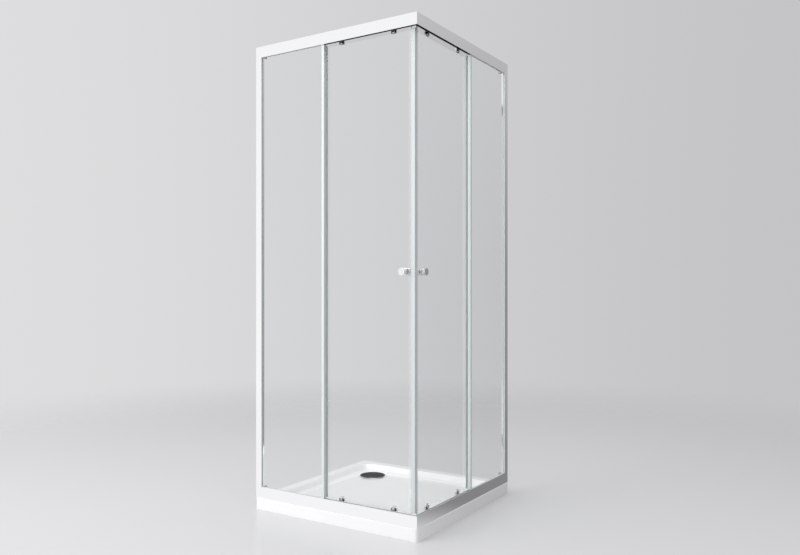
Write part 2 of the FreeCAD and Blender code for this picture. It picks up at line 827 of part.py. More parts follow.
def door_rear_seal():
    """The strip on the door's trailing edge, with a fin towards the fixed pane."""
    edge = door_rear
    fin = edge + d.seal_base - d.seal_fin_wall
    tip = door_outer - d.seal_wall - d.door_seal_reach
    body = face_body("left_door_rear_seal")
    foot = bottom_edge + d.seal_end_gap
    pad(body, "XY_Plane", foot, top_edge - d.seal_end_gap - foot, lambda s: polygon(s, [(-u, t) for u, t in (
        (edge + d.seal_base, tip), (edge + d.seal_base, door_inner + d.seal_wall),
        (edge - d.seal_grip, door_inner + d.seal_wall), (edge - d.seal_grip, door_inner), (edge, door_inner),
        (edge, door_outer), (edge - d.seal_grip, door_outer), (edge - d.seal_grip, door_outer - d.seal_wall),
        (fin, door_outer - d.seal_wall), (fin, tip),
    )]))
    return body


def door_magnet_seal():
    """The magnetic strip on the door's leading edge, cut at 45 degrees where the doors meet."""
    edge = d.door_front_setback
    near = door_outer - d.seal_wall
    far = door_inner + d.seal_wall
    grip = edge + d.seal_grip
    body = face_body("left_door_magnet_seal")
    foot = bottom_edge + d.seal_end_gap
    pad(body, "XY_Plane", foot, top_edge - d.seal_end_gap - foot, lambda s: polygon(s, [(-u, t) for u, t in (
        (near + d.magnet_gap, near), (grip, near), (grip, door_outer), (edge, door_outer), (edge, door_inner),
        (grip, door_inner), (grip, far), (far + d.magnet_gap, far),
    )]))
    return body


def wheel(label, along, level):
    """A grooved roller on its axle's line."""
    side = d.wheel_width / 2
    groove = d.wheel_groove / 2
    bore = d.axle_radius + d.axle_gap
    recess = -side + d.wheel_recess
    return turned_across(label, along, wheel_middle, level(axle_level), [
        (bore, recess), (d.wheel_recess_radius, recess), (d.wheel_recess_radius, -side),
        (d.wheel_radius, -side), (d.wheel_radius, -groove), (d.wheel_root_radius, -groove),
        (d.wheel_root_radius, groove), (d.wheel_radius, groove), (d.wheel_radius, side), (bore, side),
    ])


def axle(body, along, height, inner_end):
    """A wheel's axle with its riveted head, growing out of a solid that ends at inner_end."""
    head_inner = wheel_outer + d.wheel_recess - d.axle_end_play
    pad(body, "XZ_Plane", head_inner, inner_end - head_inner, lambda s: circle(s, (-along, height), d.axle_radius))
    pad(body, "XZ_Plane", head_inner - d.axle_head, d.axle_head,
        lambda s: circle(s, (-along, height), d.axle_head_radius))


def bracket_plate(body, along, level, reach):
    """The rounded plate on the inside of the door's glass."""
    heights = sorted((level(-d.bracket_drop), level(reach)), key=lambda size: size.value)
    pad(body, "XZ_Plane", door_inner, d.bracket_thickness, lambda s: rectangle(
        s, (-along - d.bracket_half_width, heights[0]), (d.bracket_half_width - along, heights[1])))
    fillet(body, d.bracket_corner, lambda edge: runs_along(edge, "y"))


def screw_hole(body, along, level):
    """The hole for the screw that clamps a plate to the glass."""
    cut(body, "XZ_Plane", door_inner - d.overrun, d.bracket_thickness + d.overrun * 2,
        lambda s: circle(s, (-along, level(-d.screw_drop)), d.screw_radius + d.screw_hole_gap))


def top_bracket(label, along):
    """A top roller bracket: plate, boss over the glass edge and axle."""
    body = face_body(label)
    bracket_plate(body, along, in_top_rail, axle_level + d.bracket_head)
    boss_outer = wheel_inner + d.boss_stand_off
    pad(body, "XZ_Plane", boss_outer, door_inner - boss_outer, lambda s: rectangle(
        s, (-along - d.boss_half_width, in_top_rail(d.door_cover)),
        (d.boss_half_width - along, in_top_rail(d.door_cover + d.boss_height))))
    axle(body, along, in_top_rail(axle_level), boss_outer)
    document.recompute()
    screw_hole(body, along, in_top_rail)
    return body


def carriage(label, along):
    """A bottom carriage: a plate with a slot for the slider and a ledge for its spring."""
    body = face_body(label)
    bracket_plate(body, along, in_bottom_rail, d.carriage_reach)
    slot_depth = d.slider_thickness + d.slot_gap * 2
    side = d.slider_half_width + d.slot_gap
    past = d.overrun
    cut(body, "XZ_Plane", door_inner + d.slot_wall, slot_depth, lambda s: rectangle(
        s, (-along - side, in_bottom_rail(d.carriage_reach + past)),
        (side - along, in_bottom_rail(-d.bracket_drop - past))))
    ledge = d.spring_level + d.spring_length
    pad(body, "XZ_Plane", door_inner + d.slot_wall, slot_depth, lambda s: rectangle(
        s, (-along - d.ledge_half_width, in_bottom_rail(ledge + d.ledge_height)),
        (d.ledge_half_width - along, in_bottom_rail(ledge))))
    document.recompute()
    screw_hole(body, along, in_bottom_rail)
    return body


def slider(label, along):
    """The sprung slider: release button on top, axle below the glass, two windows between."""
    body = face_body(label)
    level = in_bottom_rail
    start = door_inner + d.slot_wall + d.slot_gap
    foot = axle_level + d.slider_foot
    side = d.slider_half_width
    pad(body, "XZ_Plane", start, d.slider_thickness, lambda s: rectangle(
        s, (-along - side, level(foot)), (side - along, level(-d.slider_top))))
    button_start = door_inner + d.window_gap
    button_depth = start + d.slider_thickness + d.button_overhang - button_start
    pad(body, "XZ_Plane", button_start, button_depth, lambda s: rectangle(
        s, (-along - d.button_half_width, level(-d.slider_top)),
        (d.button_half_width - along, level(-d.slider_top - d.button_thickness))))
    pad(body, "XZ_Plane", wheel_inner + d.boss_stand_off, start - wheel_inner - d.boss_stand_off,
        lambda s: circle(s, (-along, level(axle_level)), d.collar_radius))
    axle(body, along, level(axle_level), wheel_inner + d.boss_stand_off)
    document.recompute()
    room = d.screw_radius + d.window_gap
    ledge = d.spring_level + d.spring_length + d.ledge_height
    half_window = d.ledge_half_width + d.window_gap

    def windows(sketch):
        rectangle(sketch, (-along - room, level(room - d.screw_drop)),
                  (room - along, level(-d.screw_drop - room - d.release_travel)))
        rectangle(sketch, (-along - half_window, level(ledge + d.ledge_height)),
                  (half_window - along, level(d.spring_level)))

    cut(body, "XZ_Plane", start - d.overrun, d.slider_thickness + d.overrun * 2, windows)
    return body


def spring(label, along):
    """The slider's spring as the sleeve that its wire fills, hidden in the carriage's slot."""
    body = document.addObject("PartDesign::Body", label)
    body.Label = label
    depth = door_inner + d.slot_wall + d.slot_gap + d.slider_thickness / 2
    foot = in_bottom_rail(d.spring_level + d.spring_length)
    place(body, half - d.rail_setback - along, d.rail_setback - half + depth, foot)
    bore = d.spring_radius - d.spring_wall
    turned(body, "XZ_Plane", [
        (bore, 0), (d.spring_radius, 0), (d.spring_radius, d.spring_length), (bore, d.spring_length),
    ])
    return body


def roller_screw(label, along, level):
    """A screw through the glass into its plate, under a round cap on the outside."""
    reach = d.glass_thickness + d.bracket_thickness
    return turned_across(label, along, door_outer, level(-d.screw_drop), [
        (0, -d.cap_thickness), (d.cap_radius - d.cap_edge, -d.cap_thickness),
        (d.cap_radius, d.cap_edge - d.cap_thickness), (d.cap_radius, 0), (d.screw_radius, 0),
        (d.screw_radius, reach), (0, reach),
    ])


def knobs():
    """The door's outer knob with its stud, its inner knob and the washers between them and the glass."""
    height = tray_top + d.knob_level
    outline = [(d.knob_radius * radius, d.knob_length * rise) for radius, rise in KNOB_OUTLINE_SHARES]
    outer_seat = door_outer - d.washer_thickness
    stud = d.washer_thickness * 2 + d.glass_thickness + d.stud_depth
    outer = turned_across("left_outer_knob", d.knob_setback, outer_seat, height,
                          [(0, stud), (d.stud_radius, stud), (d.stud_radius, 0)]
                          + [(radius, -rise) for radius, rise in outline] + [(0, -d.knob_length)])
    bore = d.stud_radius + d.axle_gap
    blind_end = d.stud_depth + d.stud_end_gap
    inner = turned_across("left_inner_knob", d.knob_setback, door_inner + d.washer_thickness, height,
                          [(0, blind_end), (bore, blind_end), (bore, 0)] + outline + [(0, d.knob_length)])
    washers = [
        turned_across("knob_washer", d.knob_setback, seat, height, [
            (bore, 0), (d.washer_radius, 0), (d.washer_radius, d.washer_thickness), (bore, d.washer_thickness),
        ])
        for seat in (outer_seat, door_inner)
    ]
    return {
        "left_outer_knob": outer,
        "left_inner_knob": inner,
        "left_knob_washers": group("left_knob_washers", washers),
    }


def left_pieces():
    """Every piece of the left face, by node name."""
    pieces = {
        "left_wall_channel": wall_channel(),
        "left_jamb": jamb(),
        "left_top_rail": rail("left_top_rail", in_top_rail),
        "left_bottom_rail": rail("left_bottom_rail", in_bottom_rail),
        "left_fixed_glass": fixed_glass(),
        "left_glazing_gasket": glazing_gasket(),
        "left_fixed_edge_seal": fixed_edge_seal(),
        "left_door_glass": door_glass(),
        "left_door_rear_seal": door_rear_seal(),
        "left_door_magnet_seal": door_magnet_seal(),
    }
    pieces.update(knobs())
    screws = []
    brackets = []
    carriages = []
    for place_name, along in (("front", front_roller), ("rear", rear_roller)):
        brackets.append(top_bracket("top_bracket", along))
        carriages.append(carriage("carriage", along))
        for level in (in_top_rail, in_bottom_rail):
            screws.append(roller_screw("roller_screw", along, level))
        name = f"left_{place_name}"
        pieces[f"{name}_top_wheel"] = wheel(f"{name}_top_wheel", along, in_top_rail)
        pieces[f"{name}_bottom_wheel"] = wheel(f"{name}_bottom_wheel", along, in_bottom_rail)
        pieces[f"{name}_slider"] = slider(f"{name}_slider", along)
        pieces[f"{name}_spring"] = spring(f"{name}_spring", along)
    pieces["left_top_brackets"] = group("left_top_brackets", brackets)
    pieces["left_carriages"] = group("left_carriages", carriages)
    pieces["left_roller_screws"] = group("left_roller_screws", screws)
    return pieces


def both_faces(label, make):
    """One node of four alike pieces: top and bottom, on the left and the right face."""
    left = group(f"left_{label}", [make(f"{label}_top", in_top_rail), make(f"{label}_bottom", in_bottom_rail)])
    return group(label, [left, mirrored(left, f"right_{label}")])


nodes = {"shower_tray": shower_tray()}
nodes.update(waste_pieces())
left_nodes = left_pieces()
nodes.update(left_nodes)
for left_name, piece in left_nodes.items():
    right_name = left_name.replace("left_", "right_", 1)
    nodes[right_name] = mirrored(piece, right_name)
nodes["corner_brackets"] = group("corner_brackets", [
    corner_bracket("top_corner_bracket", in_top_rail), corner_bracket("bottom_corner_bracket", in_bottom_rail),
])
nodes["end_connectors"] = both_faces("end_connectors", end_connector)
nodes["rail_end_caps"] = both_faces("rail_end_caps", end_cap)
nodes["door_stops"] = both_faces("door_stops", door_stop)
nodes["frame_screws"] = frame_screws()
document.recompute()

for item in document.Objects:
    if "Invalid" in item.State or "Error" in item.State:
        raise RuntimeError(f"{item.Label} did not build: {item.State}")
os.makedirs("parts", exist_ok=True)
for name, item in nodes.items():
    shape = item.Shape
    if shape.isNull() or not shape.isValid():
        raise RuntimeError(f"{name} has no valid shape")
    if item.Label != name:
        raise RuntimeError(f"{name} is labelled {item.Label}")
    shape.exportStep(f"parts/{name}.step")
print(f"{len(nodes)} nodes, {sum(len(item.Shape.Solids) for item in nodes.values())} solids")
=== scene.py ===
"""Dressed model of a corner shower enclosure.

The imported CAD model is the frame. Profiles, panes, seals, knobs, rollers, springs, screws and the waste are built
again at its sizes, and every other CAD node is copied with eased edges. A pale studio stands round the object.
"""

import json
import logging
import math
from abc import ABC, abstractmethod
from collections.abc import Callable, Mapping, Sequence
from dataclasses import dataclass
from enum import Enum
from functools import cache

import bmesh
import bpy
from mathutils import Matrix, Vector


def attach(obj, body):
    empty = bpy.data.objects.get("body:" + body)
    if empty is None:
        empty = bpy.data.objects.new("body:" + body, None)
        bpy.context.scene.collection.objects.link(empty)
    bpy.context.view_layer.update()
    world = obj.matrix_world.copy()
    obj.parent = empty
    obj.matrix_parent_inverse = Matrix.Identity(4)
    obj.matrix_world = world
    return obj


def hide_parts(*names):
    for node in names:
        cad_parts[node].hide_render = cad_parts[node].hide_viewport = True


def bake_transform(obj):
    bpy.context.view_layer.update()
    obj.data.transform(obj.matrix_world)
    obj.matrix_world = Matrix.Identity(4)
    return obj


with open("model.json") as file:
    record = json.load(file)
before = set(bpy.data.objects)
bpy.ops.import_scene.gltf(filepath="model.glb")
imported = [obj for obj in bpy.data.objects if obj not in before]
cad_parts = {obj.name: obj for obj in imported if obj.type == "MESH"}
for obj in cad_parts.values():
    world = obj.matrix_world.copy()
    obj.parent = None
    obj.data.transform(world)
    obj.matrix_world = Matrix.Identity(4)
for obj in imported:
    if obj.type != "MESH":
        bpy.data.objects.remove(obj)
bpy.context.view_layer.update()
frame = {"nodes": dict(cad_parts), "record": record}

log = logging.getLogger("enclosure")

Colour = tuple[float, float, float]
Point = tuple[float, float, float]
Pair = tuple[float, float]
Outline = Sequence[Pair]
Edge = bmesh.types.BMEdge
EdgeTest = Callable[[Edge], bool]

STANDING = "enclosure"
MERGE = 1e-6
ROUNDED_ABOVE = math.radians(30)
SMOOTH_BELOW = math.radians(38)


def placed(name: str, data: bpy.types.ID) -> bpy.types.Object:
    """A new object in the scene.

    Args:
        name: Its name.
        data: Its mesh, lamp or camera.

    Returns:
        The object.
    """
    made = bpy.data.objects.new(name, data)
    bpy.context.scene.collection.objects.link(made)
    return made


# Shader nodes


class Wire:
    """One value in a node tree. Arithmetic on it adds Math nodes."""

    def __init__(self, graph: "Graph", socket: bpy.types.NodeSocket) -> None:
        """Keep the socket and the graph that it belongs to."""
        self.graph = graph
        self.socket = socket

    def _math(self, operation: str, first: "Value", second: "Value") -> "Wire":
        """A Math node on two values."""
        return self.graph.node("Math", {"operation": operation}, {0: first, 1: second})

    def __add__(self, other: "Value") -> "Wire":
        """Sum."""
        return self._math("ADD", self, other)

    __radd__ = __add__

    def __sub__(self, other: "Value") -> "Wire":
        """Difference."""
        return self._math("SUBTRACT", self, other)

    def __rsub__(self, other: "Value") -> "Wire":
        """Difference with the wire on the right."""
        return self._math("SUBTRACT", other, self)

    def __mul__(self, other: "Value") -> "Wire":
        """Product."""
        return self._math("MULTIPLY", self, other)

    __rmul__ = __mul__

    def raised(self, power: float) -> "Wire":
        """The wire to a power."""
        return self._math("POWER", self, power)

    def clamped(self) -> "Wire":
        """The wire kept between 0 and 1."""
        return self.graph.node("Clamp", {}, {"Value": self})


Value = Wire | float


class Graph:
    """A node tree that is built from calls instead of by hand."""

    def __init__(self, tree: bpy.types.NodeTree) -> None:
        """Start from an empty tree."""
        self.tree = tree
        tree.nodes.clear()

    def node(self, kind: str, settings: Mapping | None = None, inputs: Mapping | None = None,
             output: int | str = 0) -> Wire:
        """Add a node.

        Args:
            kind: The node's type, without the ShaderNode in front.
            settings: Its own settings, set before its sockets; "stops" fills a colour ramp.
            inputs: Values or wires by socket name or number.
            output: The output that the wire leaves from.

        Returns:
            A wire from that output.
        """
        made = self.tree.nodes.new(f"ShaderNode{kind}")
        for name, value in (settings or {}).items():
            if name == "stops":
                self._fill_ramp(made.color_ramp, value)
            else:
                setattr(made, name, value)
        for key, value in (inputs or {}).items():
            if isinstance(value, Wire):
                self.tree.links.new(value.socket, made.inputs[key])
            else:
                made.inputs[key].default_value = value
        return Wire(self, made.outputs[output] if made.outputs else made.inputs[0])

    @staticmethod
    def _fill_ramp(ramp: bpy.types.ColorRamp, stops: Sequence[tuple[float, Colour]]) -> None:
        """Give a colour ramp its stops.

        Args:
            ramp: The ramp.
            stops: The position and the colour of each.
        """
        while len(ramp.elements) < len(stops):
            ramp.elements.new(1.0)
        for element, (position, colour) in zip(ramp.elements, stops):
            element.position = position
            element.color = (*colour, 1.0)

    def mixed(self, share: Value, first: Colour | Wire, second: Colour | Wire) -> Wire:
        """A colour between two colours, by a share."""
        ends = [end if isinstance(end, Wire) else (*end, 1.0) for end in (first, second)]
        return self.node("Mix", {"data_type": "RGBA"}, {0: share, 6: ends[0], 7: ends[1]}, 2)

    def deeper(self, share: Value, colour: Colour, factor: float) -> Wire:
        """A colour that goes to a darker one by a share."""
        return self.mixed(share, colour, tuple(channel * factor for channel in colour))

    def noise(self, scale: float, detail: float = 2.0, stretch: Point = (1.0, 1.0, 1.0)) -> Wire:
        """Noise in the object's own coordinates.

        Args:
            scale: How fine it is.
            detail: How many finer layers it has.
            stretch: Factors of the scale along the axes; a small one draws the noise out.

        Returns:
            The noise, from 0 to 1.
        """
        place = self.node("TexCoord", output="Object")
        mapped = self.node("Mapping", {}, {"Vector": place, "Scale": stretch})
        return self.node("TexNoise", {}, {"Vector": mapped, "Scale": scale, "Detail": detail})

    def bump(self, height: Wire, strength: float, distance: float) -> Wire:
        """A normal that follows a height."""
        return self.node("Bump", {}, {"Height": height, "Strength": strength, "Distance": distance})

    def principled(self, inputs: Mapping) -> Wire:
        """A Principled shader."""
        return self.node("BsdfPrincipled", {}, inputs)

    def clear(self, colour: Colour = (1.0, 1.0, 1.0)) -> Wire:
        """A Transparent shader."""
        return self.node("BsdfTransparent", {}, {"Color": (*colour, 1.0)})

    def blended(self, share: Value, first: Wire, second: Wire) -> Wire:
        """A shader that goes to a second one by a share."""
        return self.node("MixShader", {}, {0: share, 1: first, 2: second})

    def ray(self, kind: str) -> Wire:
        """1 for rays of one kind and 0 for the others."""
        return self.node("LightPath", output=f"Is {kind} Ray")

    def rise(self, value: Wire, low: float, high: float) -> Wire:
        """A smooth step from 0 at the low value to 1 at the high one."""
        return self.node("MapRange", {"interpolation_type": "SMOOTHSTEP"}, {
            "Value": value, "From Min": low, "From Max": high, "To Min": 0.0, "To Max": 1.0})

    def toward(self, way: Wire, aim: Point, low: float, high: float) -> Wire:
        """How far a direction lies toward an aim, from 0 at the low value to 1 at the high one."""
        facing = self.node("VectorMath", {"operation": "DOT_PRODUCT"}, {0: way, 1: aim}, "Value")
        return self.rise(facing, low, high)


@dataclass(frozen=True)
class Finish(ABC):
    """A surface finish, with the material slot of the record that it stands for."""

    name: str
    slot: str
    colour: Colour

    @cache
    def material(self) -> bpy.types.Material:
        """The finish's material.

        Returns:
            The material, which is made at the first call.
        """
        made = bpy.data.materials.new(f"{self.name}_finish")
        made.use_nodes = True
        graph = Graph(made.node_tree)
        graph.node("OutputMaterial", {}, {"Surface": self.shader(graph)})
        return made

    @abstractmethod
    def shader(self, graph: Graph) -> Wire:
        """The shader that goes to the material's output."""


@dataclass(frozen=True)
class BrightMetal(Finish):
    """Polished or satin metal, with haze and the fine lines that drawing or turning leaves."""

    roughness: float
    haze: float = 0.035
    lines: float = 0.012
    stretch: Point = (1.0, 1.0, 1.0)
    grazing: float = 1.0

    def shader(self, graph: Graph) -> Wire:
        """Metal whose roughness wanders and whose colour is a shade deeper where the haze is.

        Args:
            graph: The material's graph.

        Returns:
            The shader.
        """
        haze = graph.noise(scale=7.0, detail=4.0)
        lines = graph.noise(scale=260.0, detail=3.0, stretch=self.stretch)
        return graph.principled({
            "Base Color": graph.deeper(haze, self.colour, factor=0.975),
            "Metallic": 1.0,
            "Specular Tint": (self.grazing, self.grazing, self.grazing, 1.0),
            "Roughness": self.roughness + haze.raised(2.0) * (self.haze * 2) + lines * self.lines,
            "Normal": graph.bump(lines, strength=0.06, distance=0.00004),
        })


@dataclass(frozen=True)
class Moulded(Finish):
    """Moulded plastic, rubber or acrylic with a fine grain."""

    roughness: float
    coat: float = 0.0
    grain: float = 900.0
    relief: float = 0.1
    depth: float = 0.00005
    specular: float = 0.5

    def shader(self, graph: Graph) -> Wire:
        """Plastic whose colour and roughness vary a little, with its grain as relief.

        Args:
            graph: The material's graph.

        Returns:
            The shader.
        """
        patches = graph.noise(scale=5.0, detail=3.0)
        grain = graph.noise(self.grain)
        return graph.principled({
            "Base Color": graph.deeper(patches, self.colour, factor=0.955),
            "Roughness": self.roughness + patches * 0.05 + grain * 0.04,
            "Specular IOR Level": self.specular,
            "Coat Weight": self.coat,
            "Coat Roughness": 0.04,
            "Normal": graph.bump(grain, self.relief, self.depth),
        })


@dataclass(frozen=True)
class ClearPane(Finish):
    """Toughened glass seen through its faces, with the slight waves that the furnace rollers leave."""

    shade: Colour

    def shader(self, graph: Graph) -> Wire:
        """Glass that lets the lamps' light through.

        Args:
            graph: The material's graph.

        Returns:
            The shader.
        """
        waves = graph.noise(scale=1.4, detail=0.0, stretch=(0.6, 0.6, 2.4))
        glass = graph.principled({
            "Base Color": graph.deeper(waves, self.colour, factor=0.992),
            "Roughness": 0.0,
            "IOR": 1.5,
            "Transmission Weight": 1.0,
            "Normal": graph.bump(waves, strength=0.02, distance=0.0006),
        })
        straight = (graph.ray("Shadow") + graph.ray("Diffuse")).clamped()
        return graph.blended(straight, glass, graph.clear(self.shade))


@dataclass(frozen=True)
class GlassEdge(Finish):
    """The ground edge of a pane, where the glass shows its green."""

    def shader(self, graph: Graph) -> Wire:
        """Frosted green glass with fine grinding marks along its upright edges.

        Args:
            graph: The material's graph.

        Returns:
            The shader.
        """
        marks = graph.noise(scale=420.0, stretch=(1.0, 1.0, 0.004))
        return graph.principled({
            "Base Color": graph.deeper(marks, self.colour, factor=0.85),
            "Roughness": 0.3 + marks * 0.1,
            "IOR": 1.5,
            "Transmission Weight": 0.15,
            "Normal": graph.bump(marks, strength=0.05, distance=0.00003),
        })


@dataclass(frozen=True)
class ClearVinyl(Finish):
    """Extruded vinyl of the seals, milky or nearly clear."""

    alpha: float
    roughness: float = 0.22

    def shader(self, graph: Graph) -> Wire:
        """Vinyl with drawing lines along its length and a slightly uneven colour.

        Args:
            graph: The material's graph.

        Returns:
            The shader.
        """
        lines = graph.noise(scale=500.0, stretch=(1.0, 1.0, 0.002))
        cloud = graph.noise(scale=12.0, stretch=(1.0, 1.0, 0.2))
        return graph.principled({
            "Base Color": graph.deeper(cloud, self.colour, factor=0.93),
            "Roughness": self.roughness + lines * 0.1,
            "IOR": 1.45,
            "Alpha": self.alpha,
            "Normal": graph.bump(lines, strength=0.08, distance=0.00004),
        })


PROFILE_CHROME = (0.94, 0.943, 0.95)
ALONG_X = BrightMetal("chrome_rail_left", "chrome_profile", PROFILE_CHROME, 0.05, stretch=(0.01, 1.0, 1.0))
ALONG_Y = BrightMetal("chrome_rail_right", "chrome_profile", PROFILE_CHROME, 0.05, stretch=(1.0, 0.01, 1.0))
UPRIGHT = BrightMetal("chrome_upright", "chrome_profile", PROFILE_CHROME, 0.05, stretch=(1.0, 1.0, 0.01))
SATIN = BrightMetal("satin_profile", "chrome_profile", (0.9, 0.902, 0.906), 0.6, 0.05, 0.06)
# Painted shade: the satin metal of the rails' insides, painted dark for the top rail, where shade falls.
SATIN_PAINTED_SHADE = BrightMetal("dark_satin_profile", "chrome_profile", (0.2, 0.201, 0.205), 0.5, 0.05, 0.06)
KNOB_CHROME = BrightMetal("chrome_knob", "chrome_fitting", (0.88, 0.885, 0.895), 0.03, 0.02, 0.01)
FITTING_CHROME = BrightMetal("chrome_fitting", "chrome_fitting", (0.84, 0.85, 0.86), 0.08, 0.04, 0.02)
SATIN_FITTING = BrightMetal("satin_fitting", "chrome_fitting", (0.84, 0.85, 0.86), 0.38, 0.04, 0.04)
# Painted reflection: the chrome cover's top is painted near black, with its grazing sheen turned down too, as if it
# mirrored dark surroundings.
COVER_PAINTED_REFLECTION = BrightMetal("chrome_cover", "chrome_fitting", (0.02, 0.0205, 0.022), 0.12, 0.05, 0.03, grazing=0.05)
STEEL = BrightMetal("steel_screw", "steel", (0.62, 0.62, 0.63), 0.2, 0.06, 0.05)
DIE_CAST = BrightMetal("die_cast", "die_cast", (0.5, 0.51, 0.52), 0.38, 0.1, 0.08)
ACRYLIC = Moulded("tray_acrylic", "tray_acrylic", (0.86, 0.86, 0.862), 0.1, 0.4, 70.0, 0.05, 0.0002)
NYLON = Moulded("roller_nylon", "roller_nylon", (0.8, 0.8, 0.78), 0.38)
GREY_PLASTIC = Moulded("grey_plastic", "grey_plastic", (0.33, 0.34, 0.35), 0.4)
PALE_PLASTIC = Moulded("pale_plastic", "grey_plastic", (0.8, 0.81, 0.815), 0.35)
BLACK_RUBBER = Moulded("black_rubber", "black_rubber", (0.028, 0.028, 0.03), 0.55, relief=0.2, specular=0.35)
GLASS = ClearPane("clear_glass", "clear_glass", (0.953, 0.962, 0.961), (0.945, 0.957, 0.954))
GLASS_EDGE = GlassEdge("glass_edge", "clear_glass", (0.42, 0.68, 0.58))
VINYL = ClearVinyl("clear_vinyl", "clear_seal", (0.66, 0.7, 0.69), 1.0)
CLIP_VINYL = ClearVinyl("clip_vinyl", "clear_seal", (0.84, 0.88, 0.86), 0.06)
MAGNET_VINYL = ClearVinyl("magnet_vinyl", "clear_seal", (0.6, 0.64, 0.65), 1.0, 0.3)


# Places


@dataclass(frozen=True)
class Plan:
    """Sizes and places that several sub-assemblies share, in metres."""

    half: float = 0.4
    setback: float = 0.002
    tray_top: float = 0.05
    frame_top: float = 1.95
    wall: float = 0.0018
    rail_height: float = 0.046
    rail_depth: float = 0.036
    rail_pocket: float = 0.022
    rail_end: float = 0.766
    jamb_depth: float = 0.02
    jamb_pocket: float = 0.011
    web_outer: float = 0.0118
    glass: float = 0.005
    fixed_outer: float = 0.0043
    fixed_edge: float = 0.437
    door_outer: float = 0.022
    door_front: float = 0.038
    door_rear: float = 0.443
    rollers: Pair = (0.118, 0.363)
    wheel_middle: float = 0.0178
    axle_level: float = 0.0304
    screw_drop: float = 0.001
    knob_setback: float = 0.068
    knob_height: float = 0.996

    @property
    def bottom_edge(self) -> float:
        """Height of the bottom rail's open edge."""
        return self.tray_top + self.rail_height

    @property
    def top_edge(self) -> float:
        """Height of the top rail's open edge."""
        return self.frame_top - self.rail_height

    @property
    def web_inner(self) -> float:
        """Depth of the rail's web on the inside."""
        return self.web_outer + self.wall

    @property
    def door_inner(self) -> float:
        """Depth of the door glass's inner face."""
        return self.door_outer + self.glass


PLAN = Plan()


class Side(Enum):
    """The two glazed faces, which mirror each other across the plane through the entry corner.

    A piece is first built in a face's own frame: X runs to the entry corner, Y to the inside and Z up.
    """

    LEFT = "left"
    RIGHT = "right"

    @property
    def matrix(self) -> Matrix:
        """The way from the face's own frame to the object's.

        Returns:
            The matrix, which mirrors what is on the right.
        """
        reach = PLAN.half - PLAN.setback
        shift = Matrix.Translation((reach, -reach, 0.0))
        if self is Side.LEFT:
            return shift
        swap = Matrix(((0, -1, 0, 0), (-1, 0, 0, 0), (0, 0, 1, 0), (0, 0, 0, 1)))
        return swap @ shift

    @property
    def rail_finish(self) -> BrightMetal:
        """Chrome drawn along this face's rails."""
        return ALONG_X if self is Side.LEFT else ALONG_Y

    def named(self, label: str) -> str:
        """A node's or body's name on this face."""
        return f"{self.value}_{label}"


class Rail(Enum):
    """The top and bottom rails, one section turned over."""

    TOP = "top"
    BOTTOM = "bottom"

    def height(self, level: float) -> float:
        """Height of a level that is measured into the rail from its open edge."""
        return PLAN.top_edge + level if self is Rail.TOP else PLAN.bottom_edge - level


def across(along: float, depth: float, height: float) -> Matrix:
    """A frame whose Z axis points inwards across a face, for pieces turned about that axis."""
    return Matrix.Translation((-along, depth, height)) @ Matrix.Rotation(-math.pi / 2, 4, "X")


# Meshes


def scaled(shares: Outline, radius: float, height: float) -> Outline:
    """An outline from shares of a radius and of a height."""
    return [(radius * out, height * up) for out, up in shares]


